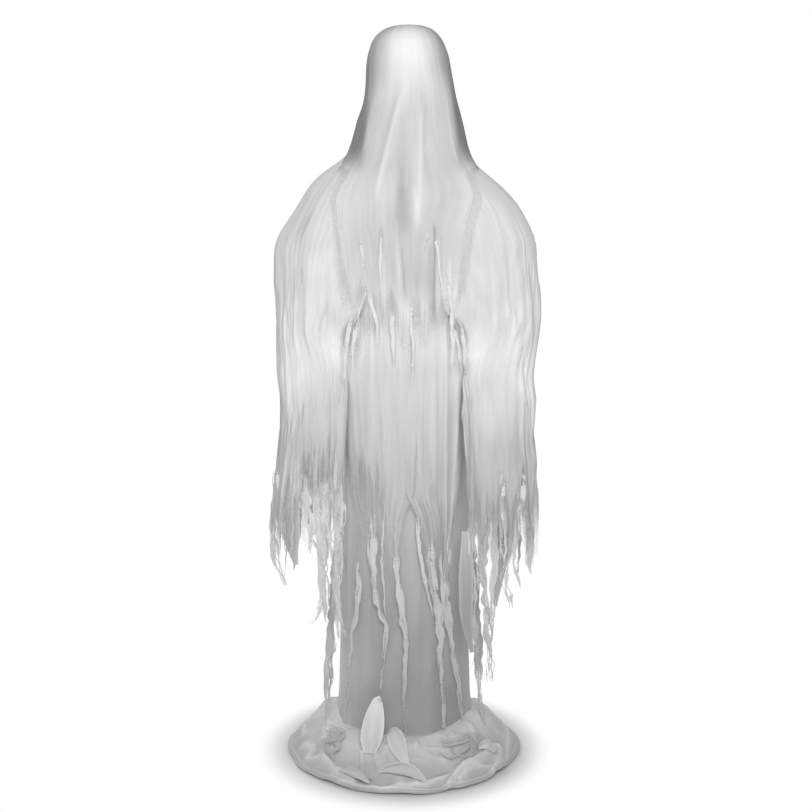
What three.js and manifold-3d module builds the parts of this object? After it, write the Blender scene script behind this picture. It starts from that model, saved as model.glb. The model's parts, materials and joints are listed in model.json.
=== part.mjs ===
// Animated ghost figure: a standing, faceless figure draped in torn cloth over a motorised frame.
// Millimetres, +Z up. The front faces -Y. The origin is on the floor, under the centre pole.

import * as THREE from "three";
import * as BufferGeometryUtils from "three/addons/utils/BufferGeometryUtils.js";
import Module from "manifold-3d";

const wasm = await Module();
wasm.setup();

// Driving dimensions of the whole figure
const figureHeight = 1830;
const shoulderHeight = 1420;
const waistHeight = 1000;
const elbowHeight = 1050;
const wristHeight = 800;
const collarHeight = 1512;
const puddleRadius = 300;

// Clearances and walls shared by many pieces
const fit = 0.3;
const clothThickness = 3;
const clothGap = 0.6;
const mouldedWall = 3;

// Floor base
const baseWidth = 330;
const baseDepth = 290;
const baseHeight = 70;
const baseCorner = 42;
const coverLift = 4;
const hubRadius = 35;
const footRadius = 13;
const screwHeadRadius = 4.5;
const screwRadius = 1.9;
const screwLength = 14;
const screwHeadHeight = 2.6;
const socketHeight = 112;
const socketWall = 6;

// Poles, spine and their snap button
const lowerPoleRadius = 16;
const upperPoleRadius = 14.2;
const poleWall = 1.5;
const lowerPoleTop = 560;
const upperPoleBottom = 450;
const snapHeight = 515;
const snapRadius = 4;
const spineRadius = 12.5;
const spineWall = 1.5;
const shaftRadius = 5;

// Gear drives: stub involute teeth
const gearModule = 2;
const pressureAngle = THREE.MathUtils.degToRad(25);
const addendumShare = 0.8;
const dedendumShare = 1.1;
const backlash = 0.4;
const pinionTeeth = 12;
const waistGearTeeth = 36;
const neckGearTeeth = 24;
const gearFace = 10;
const waistMotorRadius = 18;
const waistMotorLength = 46;
const neckMotorRadius = 14;
const neckMotorLength = 38;

// Shoulders and arms
const yokeReach = 208;
const yokeThickness = 26;
const yokeRib = 4;
const endDisc = 8;
const yokeBottom = 1370;
const yokeSeat = 1470;
const armholeRadius = 36;
const armholePlane = 195;
const pivotRadius = 4;
const lugRadius = 22;
const lugThickness = 14;
const armTubeRadius = 10;
const elbowRadius = 14.5;

// Head
const headHalfWidth = 92;
const headHalfDepth = 104;
const headShellWall = 2.5;
const headHubHeight = 1532;
const headHubRadius = 46;
const headHubThickness = 8;

// Facets round a full turn: large rounds, ordinary rounds and small fixings
const largeSides = 20;
const roundSides = 12;
const smallSides = 8;

// Materials, one function each

function plastic(color) {
  return new THREE.MeshStandardMaterial({ color, roughness: 0.55, metalness: 0 });
}

function metal(color, roughness) {
  return new THREE.MeshStandardMaterial({ color, roughness, metalness: 1 });
}

function cloth(color) {
  return new THREE.MeshStandardMaterial({ color, roughness: 0.85, metalness: 0 });
}

const blackPlastic = plastic(0x1d1e20);
const greyPlastic = plastic(0x8d8f92);
const whitePlastic = plastic(0xe9e8e4);
const redPlastic = plastic(0xb32420);
const rubber = new THREE.MeshStandardMaterial({ color: 0x222222, roughness: 0.9, metalness: 0 });
const steel = metal(0xb9bcc0, 0.35);
const bronze = metal(0xb08447, 0.4);
const paintedSteel = new THREE.MeshStandardMaterial({ color: 0x2b2c2e, roughness: 0.45, metalness: 0.4 });
const circuitGreen = plastic(0x24583a);
const gauze = cloth(0xe6e6e6);
const satin = cloth(0xbcbcbc);

// Solid helpers

function solidOf(geometry) {
  const bare = geometry.clone();
  bare.deleteAttribute("normal");
  bare.deleteAttribute("uv");
  const merged = BufferGeometryUtils.mergeVertices(bare, 1e-4);
  const index = merged.index.array;
  const triangles = [];
  for (let i = 0; i < index.length; i += 3) {
    const [a, b, c] = [index[i], index[i + 1], index[i + 2]];
    if (a !== b && b !== c && c !== a) triangles.push(a, b, c);
  }
  return new wasm.Manifold(new wasm.Mesh({
    numProp: 3,
    vertProperties: new Float32Array(merged.attributes.position.array),
    triVerts: new Uint32Array(triangles),
  }));
}

function geometryOf(solid) {
  const mesh = solid.getMesh();
  const geometry = new THREE.BufferGeometry();
  geometry.setAttribute("position", new THREE.BufferAttribute(mesh.vertProperties, 3));
  geometry.setIndex(new THREE.BufferAttribute(mesh.triVerts, 1));
  const faceted = geometry.toNonIndexed();
  faceted.computeVertexNormals();
  return faceted;
}

function join(...geometries) {
  return geometryOf(geometries.map(solidOf).reduce((whole, next) => whole.add(next)));
}

function cut(geometry, ...tools) {
  return geometryOf(tools.map(solidOf).reduce((whole, tool) => whole.subtract(tool), solidOf(geometry)));
}

// A cylinder along Z between two heights, centred on x, y
function rodZ(radius, bottom, top, x = 0, y = 0, sides = roundSides) {
  return new THREE.CylinderGeometry(radius, radius, top - bottom, sides)
    .rotateX(Math.PI / 2)
    .translate(x, y, (bottom + top) / 2);
}

// A cylinder along X, from one x to another, centred on y, z
function rodX(radius, from, to, y, z, sides = roundSides) {
  return new THREE.CylinderGeometry(radius, radius, Math.abs(to - from), sides)
    .rotateZ(Math.PI / 2)
    .translate((from + to) / 2, y, z);
}

// A cylinder along Y, from one y to another, centred on x, z
function rodY(radius, from, to, x, z, sides = roundSides) {
  return new THREE.CylinderGeometry(radius, radius, Math.abs(to - from), sides)
    .translate(x, (from + to) / 2, z);
}

function block(width, depth, height, x, y, bottom) {
  return new THREE.BoxGeometry(width, depth, height).translate(x, y, bottom + height / 2);
}

// A body turned about Z from a profile of [radius, height] points, listed anticlockwise
function turned(profile, sides = roundSides) {
  const points = profile.map(([radius, height]) => new THREE.Vector2(radius, height));
  return new THREE.LatheGeometry(points, sides).rotateX(Math.PI / 2);
}

// A pipe along Z
function pipe(outer, inner, bottom, top, sides = roundSides) {
  return turned([[inner, bottom], [outer, bottom], [outer, top], [inner, top], [inner, bottom]], sides);
}

// A flat outline in the floor plane, raised between two heights
function plate(shape, bottom, top, curveSegments = 5) {
  return new THREE.ExtrudeGeometry(shape, { depth: top - bottom, bevelEnabled: false, curveSegments })
    .translate(0, 0, bottom);
}

// A flat outline in the upright plane that faces -Y, between two depths
function upright(shape, front, back, curveSegments = 3) {
  return new THREE.ExtrudeGeometry(shape, { depth: back - front, bevelEnabled: false, curveSegments })
    .rotateX(Math.PI / 2)
    .translate(0, back, 0);
}

// A round bar along a curve
function barAlong(curve, radius, steps, sides = smallSides) {
  const section = new THREE.Shape();
  section.absarc(0, 0, radius, 0, 2 * Math.PI, false);
  return new THREE.ExtrudeGeometry(section, { steps, extrudePath: curve, curveSegments: sides / 2 });
}

function curveThrough(points) {
  return new THREE.CatmullRomCurve3(points.map(([x, y, z]) => new THREE.Vector3(x, y, z)));
}

function roundedRectangle(width, depth, corner) {
  const [x, y] = [width / 2, depth / 2];
  const shape = new THREE.Shape();
  shape.absarc(x - corner, y - corner, corner, 0, Math.PI / 2, false);
  shape.absarc(corner - x, y - corner, corner, Math.PI / 2, Math.PI, false);
  shape.absarc(corner - x, corner - y, corner, Math.PI, 1.5 * Math.PI, false);
  shape.absarc(x - corner, corner - y, corner, 1.5 * Math.PI, 2 * Math.PI, false);
  return shape;
}

// A skin over a run of equal rings; a closed run joins its last ring to its first
function skin(rings, closedRun) {
  const count = rings[0].length;
  const positions = rings.flat().flatMap((point) => [point.x, point.y, point.z]);
  const index = [];
  const runs = closedRun ? rings.length : rings.length - 1;
  for (let ring = 0; ring < runs; ring++) {
    const here = ring * count;
    const there = ((ring + 1) % rings.length) * count;
    for (let i = 0; i < count; i++) {
      const next = (i + 1) % count;
      index.push(here + i, here + next, there + next, here + i, there + next, there + i);
    }
  }
  if (!closedRun) {
    for (const [ring, turn] of [[0, -1], [rings.length - 1, 1]]) {
      const centre = rings[ring].reduce((sum, point) => sum.add(point), new THREE.Vector3())
        .divideScalar(count);
      const hub = positions.length / 3;
      positions.push(centre.x, centre.y, centre.z);
      for (let i = 0; i < count; i++) {
        const [a, b] = [ring * count + i, ring * count + ((i + 1) % count)];
        index.push(...(turn > 0 ? [a, b, hub] : [b, a, hub]));
      }
    }
  }
  const geometry = new THREE.BufferGeometry();
  geometry.setAttribute("position", new THREE.Float32BufferAttribute(positions, 3));
  geometry.setIndex(index);
  return geometry;
}

// A thickened shell between an outer run of rings, listed upwards, and its inner copy.
// A shell with a closed top is capped at its last ring, and any other is open at both ends.
function shell(outerRings, innerRings, closedTop) {
  const inner = [...innerRings].reverse();
  return closedTop ? skin([...inner, ...outerRings], false) : skin([...outerRings, ...inner], true);
}

function addPart(group, name, geometry, material) {
  const origin = new THREE.Vector3();
  for (let holder = group; holder; holder = holder.parent) origin.add(holder.position);
  const mesh = new THREE.Mesh(geometry.clone().translate(-origin.x, -origin.y, -origin.z), material);
  mesh.name = name;
  group.add(mesh);
  return mesh;
}

const figure = new THREE.Group();
const torso = new THREE.Group();
torso.position.set(0, 0, waistHeight);
figure.add(torso);
const head = new THREE.Group();
head.position.set(0, 0, yokeSeat - waistHeight);
torso.add(head);

// Floor base: a moulded housing, closed from below by a screwed cover

const coverTop = coverLift + mouldedWall;
const socketInner = lowerPoleRadius + fit;
const socketOuter = socketInner + socketWall;
const fixingX = baseWidth / 2 - baseCorner * 0.55;
const fixingY = baseDepth / 2 - baseCorner * 0.55;
const bossRadius = screwHeadRadius + 2;
const bossInset = screwHeadRadius * 1.6;
const corners = [[-1, -1, "front_left"], [1, -1, "front_right"], [-1, 1, "rear_left"], [1, 1, "rear_right"]];

// Controls on the rear wall
const rearWall = baseDepth / 2;
const baseDraft = 2;
const controlFace = rearWall - baseDraft - mouldedWall - fit;
const controlHeight = 38;
const switchX = -60;
const switchTravel = 5;
const switchTab = { width: 7, height: 5, depth: 6 };
const buttonX = -25;
const buttonRadius = 6;
const buttonCap = 4.6;
const inletX = 15;
const inletRadius = 5;

// Speaker behind slots in the left wall
const speakerRadius = 26;
const speakerHeight = 35;
const speakerDepth = 24;
const speakerY = -40;

// Battery tray and its door in the cover
const trayWidth = 74;
const trayLength = 124;
const trayHeight = 42;
const trayInset = 42;
const trayX = baseWidth / 2 - trayInset - trayWidth / 2;
const traySill = 6;

function tapered(width, depth, corner, bottom, top, draft, rounding) {
  const levels = [
    [bottom, 0],
    [top - rounding, draft],
    [top - rounding * 0.3, draft + rounding * 0.3],
    [top, draft + rounding],
  ];
  const rings = levels.map(([height, inset]) => roundedRectangle(
    width - 2 * inset, depth - 2 * inset, corner - inset,
  ).getPoints(3).slice(0, -1).map((point) => new THREE.Vector3(point.x, point.y, height)));
  return skin(rings, false);
}

function baseHousing() {
  const draft = baseDraft;
  const rounding = 9;
  const outer = tapered(baseWidth, baseDepth, baseCorner, coverLift, baseHeight, draft, rounding);
  const inner = tapered(
    baseWidth - 2 * mouldedWall, baseDepth - 2 * mouldedWall, baseCorner - mouldedWall,
    coverLift - 1, baseHeight - mouldedWall, draft, rounding - mouldedWall,
  );
  const parts = [cut(outer, inner)];
  parts.push(rodZ(socketOuter, coverTop + fit, socketHeight, 0, 0, largeSides));
  for (const [x, y] of corners) {
    parts.push(rodZ(bossRadius, coverTop + fit, baseHeight - mouldedWall / 2,
      x * (fixingX - bossInset), y * (fixingY - bossInset), smallSides));
  }
  const ribCount = 4;
  for (let i = 0; i < ribCount; i++) {
    const rib = new THREE.Shape();
    rib.moveTo(socketInner + 2, baseHeight - mouldedWall);
    rib.lineTo(socketOuter + 34, baseHeight - mouldedWall);
    rib.lineTo(socketOuter + 34, baseHeight);
    rib.lineTo(socketOuter, socketHeight - 8);
    rib.lineTo(socketInner + 2, socketHeight - 8);
    parts.push(upright(rib, -1.5, 1.5).rotateZ(((i + 0.5) * 2 * Math.PI) / ribCount));
  }
  for (const [x, y] of boardPosts()) {
    parts.push(rodZ(3.5, boardHeight + boardThickness + fit, baseHeight - mouldedWall / 2, x, y, 8));
  }
  const tools = [rodZ(socketInner, 0, socketHeight + 1, 0, 0, largeSides)];
  for (const [x, y] of corners) {
    tools.push(rodZ(screwRadius + fit, 0, coverTop + screwLength + 2,
      x * (fixingX - bossInset), y * (fixingY - bossInset), smallSides));
  }
  tools.push(block(switchTab.width + switchTravel + 2 * fit, 20, switchTab.height + 2 * fit,
    switchX + switchTravel / 2, rearWall, controlHeight - switchTab.height / 2 - fit));
  tools.push(rodY(buttonRadius + fit, rearWall - 12, rearWall + 5, buttonX, controlHeight));
  tools.push(rodY(inletRadius + fit, rearWall - 12, rearWall + 5, inletX, controlHeight));
  const slotCount = 5;
  const slotPitch = 9;
  for (let i = 0; i < slotCount; i++) {
    const offset = (i - (slotCount - 1) / 2) * slotPitch;
    const half = Math.sqrt((speakerRadius - 4) ** 2 - offset ** 2);
    tools.push(block(20, 3, 2 * half, -baseWidth / 2, speakerY + offset, speakerHeight - half));
  }
  return cut(join(...parts), ...tools);
}

function baseCover() {
  const inset = mouldedWall + fit + 2;
  const panel = plate(
    roundedRectangle(baseWidth - 2 * inset, baseDepth - 2 * inset, baseCorner - inset), coverLift, coverTop,
  );
  const hub = rodZ(hubRadius, 0, coverTop, 0, 0, largeSides);
  const tools = corners.map(([x, y]) => rodZ(screwRadius + fit, 0, coverTop + 1,
    x * (fixingX - bossInset), y * (fixingY - bossInset), smallSides));
  tools.push(block(trayWidth - 4 * mouldedWall, trayLength - 4 * mouldedWall, 20, trayX, 0, 0));
  tools.push(block(trayWidth, trayLength, mouldedWall / 2, trayX, 0, coverLift));
  return cut(join(panel, hub), ...tools);
}

// The door lies in the cover's rebate and is held by a screw
function batteryDoor() {
  const panel = block(trayWidth - 2 * fit, trayLength - 2 * fit, mouldedWall / 2 - fit, trayX, 0, coverLift);
  const pad = block(trayWidth - 4 * mouldedWall - 2 * fit, trayLength - 4 * mouldedWall - 2 * fit,
    mouldedWall - fit, trayX, 0, coverLift);
  return cut(join(panel, pad), rodZ(screwRadius + fit, 0, baseHeight, trayX, doorScrewY, smallSides));
}

const doorScrewY = -(trayLength / 2 - 4 * mouldedWall);

function screw(x, y, headTop) {
  const headHeight = screwHeadHeight;
  const shaftTop = headTop + screwLength;
  const body = turned([
    [0, headTop - headHeight], [screwHeadRadius * 0.8, headTop - headHeight],
    [screwHeadRadius, headTop - headHeight * 0.4], [screwHeadRadius, headTop],
    [screwRadius, headTop], [screwRadius, shaftTop - 2], [0, shaftTop],
  ], smallSides);
  const slot = block(1.2, screwHeadRadius * 1.1, 1.4, 0, 0, headTop - headHeight - 0.4);
  return cut(body, slot).translate(x, y, 0);
}

function batteryTray() {
  const bottom = coverTop + fit;
  const top = bottom + trayHeight;
  const outer = block(trayWidth, trayLength, trayHeight, trayX, 0, bottom);
  const bays = 2;
  const bayWidth = (trayWidth - (bays + 1) * 2) / bays;
  const tools = [];
  for (let i = 0; i < bays; i++) {
    const x = trayX + (i - (bays - 1) / 2) * (bayWidth + 2);
    tools.push(block(bayWidth, trayLength - 4, trayHeight - 2, x, 0, bottom - 1));
  }
  const divider = block(trayWidth, 2, trayHeight - 16, trayX, 0, top - (trayHeight - 16));
  const screwPost = rodZ(screwRadius + 3, bottom, top, trayX, doorScrewY, smallSides);
  return cut(join(cut(outer, ...tools), divider, screwPost),
    rodZ(screwRadius + fit, 0, bottom + screwLength + 2, trayX, doorScrewY, smallSides));
}

function footPad(x, y) {
  return turned([
    [0, 0], [footRadius - 1.5, 0], [footRadius, coverLift - fit], [0, coverLift - fit],
  ]).translate(x * (fixingX - bossInset - 30), y * (fixingY - 4), 0);
}

// Control board under the housing's roof
const boardHeight = 48;
const boardWidth = 96;
const boardDepth = 62;
const boardX = -75;
const boardY = 70;
const boardThickness = 1.6;

function boardPosts() {
  const inset = 6;
  return [[-1, -1], [1, -1], [-1, 1], [1, 1]].map(([x, y]) => [
    boardX + x * (boardWidth / 2 - inset), boardY + y * (boardDepth / 2 - inset),
  ]);
}

function controlBoard() {
  const parts = [block(boardWidth, boardDepth, boardThickness, boardX, boardY, boardHeight)];
  const chips = [[-20, 8, 18, 10, 4], [8, -10, 10, 8, 3], [30, 12, 14, 14, 5], [-30, -14, 20, 12, 8]];
  for (const [x, y, width, depth, height] of chips) {
    parts.push(block(width, depth, height + 0.5, boardX + x, boardY + y, boardHeight - height));
  }
  for (const x of [16, 27]) {
    parts.push(rodZ(4, boardHeight - 11, boardHeight + 0.5, boardX + x, boardY - 20, 8));
  }
  return join(...parts);
}

// The speaker cone opens towards the slotted wall
function speaker() {
  const frontX = -baseWidth / 2 + baseDraft + mouldedWall + fit;
  const cone = turned([
    [0, speakerDepth - 6], [speakerRadius * 0.45, speakerDepth - 9],
    [speakerRadius - 4, 3], [speakerRadius - 4, 0], [speakerRadius, 0],
    [speakerRadius, 2.5], [speakerRadius * 0.6, speakerDepth - 9], [speakerRadius * 0.6, speakerDepth],
    [0, speakerDepth],
  ], roundSides);
  return cone.rotateY(Math.PI / 2).translate(frontX, speakerY, speakerHeight);
}

function powerInlet() {
  const face = controlFace;
  const bodyDepth = 13;
  const body = block(14, bodyDepth, 12, inletX, face - bodyDepth / 2, controlHeight - 6);
  const nose = rodY(inletRadius, face - 1, face + 4, inletX, controlHeight);
  return cut(join(body, nose), rodY(2.9, face - 9, face + 6, inletX, controlHeight, smallSides));
}

function powerSwitch() {
  const face = controlFace;
  const tab = block(switchTab.width, switchTab.depth, switchTab.height,
    switchX, face + switchTab.depth / 2 - 1, controlHeight - switchTab.height / 2);
  const slider = block(switchTab.width + 2 * switchTravel, 2, switchTab.height + 6,
    switchX, face - 1, controlHeight - switchTab.height / 2 - 3);
  const ridges = [];
  for (const offset of [-2, 0, 2]) {
    ridges.push(block(0.8, 1.4, switchTab.height, switchX + offset,
      face + switchTab.depth - 1, controlHeight - switchTab.height / 2));
  }
  return cut(join(tab, slider), ...ridges);
}

function testButton() {
  const face = controlFace;
  return turned([
    [0, -12], [2.4, -12], [2.4, -2], [buttonRadius + 2, -2], [buttonRadius + 2, 0],
    [buttonRadius, 0], [buttonRadius, buttonCap - 1.2], [buttonRadius - 1.2, buttonCap], [0, buttonCap],
  ]).rotateX(-Math.PI / 2).translate(buttonX, face, controlHeight);
}

function buttonSpring() {
  const face = controlFace;
  const turns = 4;
  const wire = 0.5;
  const coilRadius = 4;
  const free = 7;
  const seat = face - 2 - fit - wire;
  class Coil extends THREE.Curve {
    getPoint(t) {
      const angle = 2 * Math.PI * turns * t;
      return new THREE.Vector3(
        buttonX + coilRadius * Math.cos(angle), seat - free * t, controlHeight + coilRadius * Math.sin(angle),
      );
    }
  }
  const section = new THREE.Shape();
  section.absarc(0, 0, wire, 0, 2 * Math.PI, false);
  return new THREE.ExtrudeGeometry(section, { steps: turns * 6, extrudePath: new Coil(), curveSegments: 2 });
}

function buildBase() {
  addPart(figure, "base_housing", baseHousing(), blackPlastic);
  addPart(figure, "base_cover", baseCover(), blackPlastic);
  addPart(figure, "battery_door", batteryDoor(), blackPlastic);
  addPart(figure, "battery_door_screw", screw(trayX, doorScrewY, coverLift - fit), steel);
  addPart(figure, "battery_tray", batteryTray(), greyPlastic);
  for (const [x, y, place] of corners) {
    addPart(figure, `foot_${place}`, footPad(x, y), rubber);
    addPart(figure, `cover_screw_${place}`,
      screw(x * (fixingX - bossInset), y * (fixingY - bossInset), coverLift - fit), steel);
  }
  addPart(figure, "control_board", controlBoard(), circuitGreen);
  addPart(figure, "speaker", speaker(), blackPlastic);
  addPart(figure, "power_inlet", powerInlet(), blackPlastic);
  addPart(figure, "power_switch", powerSwitch(), greyPlastic);
  addPart(figure, "test_button", testButton(), redPlastic);
  addPart(figure, "button_spring", buttonSpring(), steel);
}

// Poles: the upper one telescopes into the lower one and locks with a snap button

const caseFloor = waistHeight - 34;
const poleTop = caseFloor - fit;

function lowerPole() {
  const tube = pipe(lowerPoleRadius, lowerPoleRadius - poleWall, coverTop + fit, lowerPoleTop, largeSides);
  return cut(tube, rodY(snapRadius + fit, -lowerPoleRadius - 2, -5, 0, snapHeight, smallSides));
}

function upperPole() {
  const tube = pipe(upperPoleRadius, upperPoleRadius - poleWall, upperPoleBottom, poleTop, largeSides);
  return cut(tube, rodY(snapRadius + fit, -upperPoleRadius - 2, -5, 0, snapHeight, smallSides));
}

// The button stands on one leg of a folded strip spring; its other leg bears on the bore
const stripThickness = 0.8;
const stripWidth = 7;
const boreRadius = upperPoleRadius - poleWall;
const frontLeg = -(boreRadius - 2.4);

function snapButton() {
  const head = turned([
    [0, frontLeg], [snapRadius, frontLeg], [snapRadius, lowerPoleRadius + 1.4],
    [snapRadius * 0.6, lowerPoleRadius + 3], [0, lowerPoleRadius + 3],
  ].map(([radius, reach], i) => [radius, i < 2 ? -frontLeg : reach]), smallSides)
    .rotateX(Math.PI / 2).translate(0, 0, snapHeight);
  const leg = block(stripWidth, stripThickness, 34, 0, frontLeg + stripThickness / 2, snapHeight - 26);
  return join(head, leg);
}

function snapSpring() {
  const backLeg = Math.sqrt((boreRadius - fit) ** 2 - (stripWidth / 2) ** 2) - fit;
  const strip = new THREE.Shape();
  const bend = (backLeg - 2) / 2;
  strip.moveTo(2, 0);
  strip.lineTo(2, -18);
  strip.absarc(2 + bend, -18, bend, Math.PI, 2 * Math.PI, false);
  strip.lineTo(backLeg, 20);
  strip.lineTo(backLeg - stripThickness, 20);
  strip.lineTo(backLeg - stripThickness, -18);
  strip.absarc(2 + bend, -18, bend - stripThickness, 2 * Math.PI, Math.PI, true);
  strip.lineTo(2 + stripThickness, 0);
  return new THREE.ExtrudeGeometry(strip, { depth: stripWidth, bevelEnabled: false, curveSegments: 5 })
    .translate(0, 0, -stripWidth / 2)
    .rotateX(Math.PI / 2)
    .rotateZ(Math.PI / 2)
    .translate(0, 0, snapHeight - 8);
}

function buildPoles() {
  addPart(figure, "lower_pole", lowerPole(), paintedSteel);
  addPart(figure, "upper_pole", upperPole(), paintedSteel);
  addPart(figure, "snap_button", snapButton(), steel);
  addPart(figure, "snap_spring", snapSpring(), steel);
}

// Gear drives: a motor turns a pinion, which turns a large gear on the output shaft

function pitchRadius(teeth) {
  return (gearModule * teeth) / 2;
}

function tipRadius(teeth) {
  return pitchRadius(teeth) + addendumShare * gearModule;
}

function centreDistance(teeth) {
  return pitchRadius(teeth) + pitchRadius(pinionTeeth);
}

// The outline of a gear whose first tooth, or first gap, points along firstAngle
function gearOutline(teeth, firstAngle, flankPoints) {
  const pitch = pitchRadius(teeth);
  const base = pitch * Math.cos(pressureAngle);
  const root = pitch - dedendumShare * gearModule;
  const tip = tipRadius(teeth);
  const start = Math.max(base, root);
  const involute = (angle) => Math.tan(angle) - angle;
  const halfAtPitch = (Math.PI * gearModule - backlash) / (4 * pitch);
  const halfAt = (radius) => halfAtPitch + involute(pressureAngle)
    - involute(Math.acos(Math.min(1, base / radius)));
  const shape = new THREE.Shape();
  let started = false;
  const put = (radius, angle) => {
    const [x, y] = [radius * Math.cos(angle), radius * Math.sin(angle)];
    if (started) shape.lineTo(x, y);
    else shape.moveTo(x, y);
    started = true;
  };
  for (let tooth = 0; tooth < teeth; tooth++) {
    const middle = firstAngle + (tooth * 2 * Math.PI) / teeth;
    if (root < base) put(root, middle - halfAt(start));
    for (let i = 0; i < flankPoints; i++) {
      const radius = start + ((tip - start) * i) / (flankPoints - 1);
      put(radius, middle - halfAt(radius));
    }
    for (let i = flankPoints - 1; i >= 0; i--) {
      const radius = start + ((tip - start) * i) / (flankPoints - 1);
      put(radius, middle + halfAt(radius));
    }
    if (root < base) put(root, middle + halfAt(start));
  }
  shape.closePath();
  return shape;
}

// A gear with a rim, a thin web with round windows, and a hub
function largeGear(teeth, bottom) {
  const firstAngle = Math.PI / 2;
  const rimInner = pitchRadius(teeth) - 5;
  const hubOuter = shaftRadius + 5;
  const windowRadius = (rimInner - hubOuter) / 2 - 1.5;
  const windowPitch = (rimInner + hubOuter) / 2;
  const windowCount = 4;
  const body = plate(gearOutline(teeth, firstAngle, 2), bottom, bottom + gearFace);
  const recess = pipe(rimInner, hubOuter, bottom + gearFace * 0.65, bottom + gearFace + 1);
  const tools = [recess, rodZ(shaftRadius + fit, bottom - 1, bottom + gearFace + 1)];
  for (let i = 0; i < windowCount; i++) {
    const angle = (i * 2 * Math.PI) / windowCount;
    tools.push(rodZ(windowRadius, bottom - 1, bottom + gearFace + 1,
      windowPitch * Math.cos(angle), windowPitch * Math.sin(angle), smallSides));
  }
  return cut(body, ...tools);
}

const pinionShaftRadius = 3;
const pinionShaftDepth = 7;

// The pinion is moulded on the motor's own shaft, which ends inside the motor's nose
function pinion(bottom, offset, shaftBottom) {
  const gapAngle = -Math.PI / 2 + Math.PI / pinionTeeth;
  const teeth = plate(gearOutline(pinionTeeth, gapAngle, 3), bottom - 1, bottom + gearFace + 1);
  const shaft = rodZ(pinionShaftRadius, shaftBottom, bottom + gearFace, 0, 0, smallSides);
  return join(teeth, shaft).translate(0, offset, 0);
}

// The outline round a large circle and a small one beside it
function twoCircleShape(large, small, distance) {
  const lean = Math.asin((large - small) / distance);
  const shape = new THREE.Shape();
  shape.absarc(0, 0, large, Math.PI - lean, 2 * Math.PI + lean, false);
  shape.absarc(0, distance, small, lean, Math.PI - lean, false);
  shape.closePath();
  return shape;
}

// Levels of one drive, all from the height of its case floor
function driveLevels(teeth, floor) {
  const wallTop = floor + mouldedWall + gearFace + 8;
  return {
    floor,
    floorTop: floor + mouldedWall,
    gearBottom: floor + mouldedWall + 4,
    wallTop,
    lidTop: wallTop + fit + mouldedWall,
    innerLarge: tipRadius(teeth) + 3,
    innerSmall: tipRadius(pinionTeeth) + 3,
    offset: centreDistance(teeth),
  };
}

const bushRadius = 8;
const bushHeight = 6;
const bushFlange = 1.5;
const noseRadius = 6;

function driveCase(levels, shaftHole) {
  const outer = twoCircleShape(levels.innerLarge + mouldedWall, levels.innerSmall + mouldedWall, levels.offset);
  const inner = twoCircleShape(levels.innerLarge, levels.innerSmall, levels.offset);
  return cut(
    plate(outer, levels.floor, levels.wallTop),
    plate(inner, levels.floorTop, levels.wallTop + 1),
    rodZ(noseRadius + fit, levels.floor - 1, levels.floorTop + 1, 0, levels.offset),
    rodZ(shaftHole, levels.floor - 1, levels.floorTop + 1),
  );
}

function driveLid(levels, towerHeight, hole) {
  const outer = twoCircleShape(levels.innerLarge + mouldedWall, levels.innerSmall + mouldedWall, levels.offset);
  const lip = twoCircleShape(levels.innerLarge - fit, levels.innerSmall - fit, levels.offset);
  const lipInner = twoCircleShape(levels.innerLarge - fit - 2, levels.innerSmall - fit - 2, levels.offset);
  const ring = cut(
    plate(lip, levels.wallTop - 2, levels.wallTop + fit + 1),
    plate(lipInner, levels.wallTop - 3, levels.wallTop + fit),
  );
  return cut(
    join(
      plate(outer, levels.wallTop + fit, levels.lidTop),
      ring,
      rodZ(bushRadius + mouldedWall, levels.wallTop + fit, levels.lidTop + towerHeight),
    ),
    rodZ(hole, levels.wallTop - 4, levels.lidTop + towerHeight + 1),
  );
}

function motor(levels, radius, length) {
  const face = levels.floor - fit;
  const endCap = radius * 0.55;
  const can = turned([
    [0, face - length - 4], [endCap, face - length - 4], [endCap, face - length],
    [radius - 1, face - length], [radius, face - length + 1], [radius, face - 1], [radius - 1, face],
    [noseRadius, face], [noseRadius, levels.floorTop - fit], [pinionShaftRadius + fit, levels.floorTop - fit],
    [pinionShaftRadius + fit, face - pinionShaftDepth + 1], [0, face - pinionShaftDepth + 1],
  ]);
  return can.translate(0, levels.offset, 0);
}

// A flanged bush whose flange rests at flangeHeight and whose body hangs below it
function bush(flangeHeight, bodyHeight) {
  const inner = shaftRadius + fit;
  return turned([
    [inner, flangeHeight - bodyHeight], [bushRadius, flangeHeight - bodyHeight], [bushRadius, flangeHeight],
    [bushRadius + 2.2, flangeHeight],
    [bushRadius + 2.2, flangeHeight + bushFlange],
    [inner, flangeHeight + bushFlange],
    [inner, flangeHeight - bodyHeight],
  ]);
}

// Waist drive, on top of the upper pole

const waist = driveLevels(waistGearTeeth, caseFloor);
const waistTower = 10;
const collarDepth = 32;
const waistShaftBottom = waist.floorTop + bushFlange + fit;
const waistCollar = waist.lidTop + waistTower + bushFlange + 3 * fit;
const collarThickness = 4;

function waistCase() {
  const box = driveCase(waist, bushRadius + fit);
  const collar = pipe(
    upperPoleRadius + fit + 4, upperPoleRadius + fit, caseFloor - collarDepth, caseFloor + 1, largeSides,
  );
  return join(box, cut(collar, rodZ(upperPoleRadius + 6, caseFloor, caseFloor + 2)));
}

// The shaft carries a thrust collar and a plug that fills the foot of the spine tube
function waistShaft() {
  const plug = spineRadius - spineWall - fit;
  const collarTop = waistCollar + collarThickness;
  return turned([
    [0, waistShaftBottom], [shaftRadius, waistShaftBottom], [shaftRadius, waistCollar],
    [spineRadius + 2, waistCollar], [spineRadius + 2, collarTop], [plug, collarTop],
    [plug, collarTop + 38], [plug - 2, collarTop + 40], [0, collarTop + 40],
  ]);
}

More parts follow.
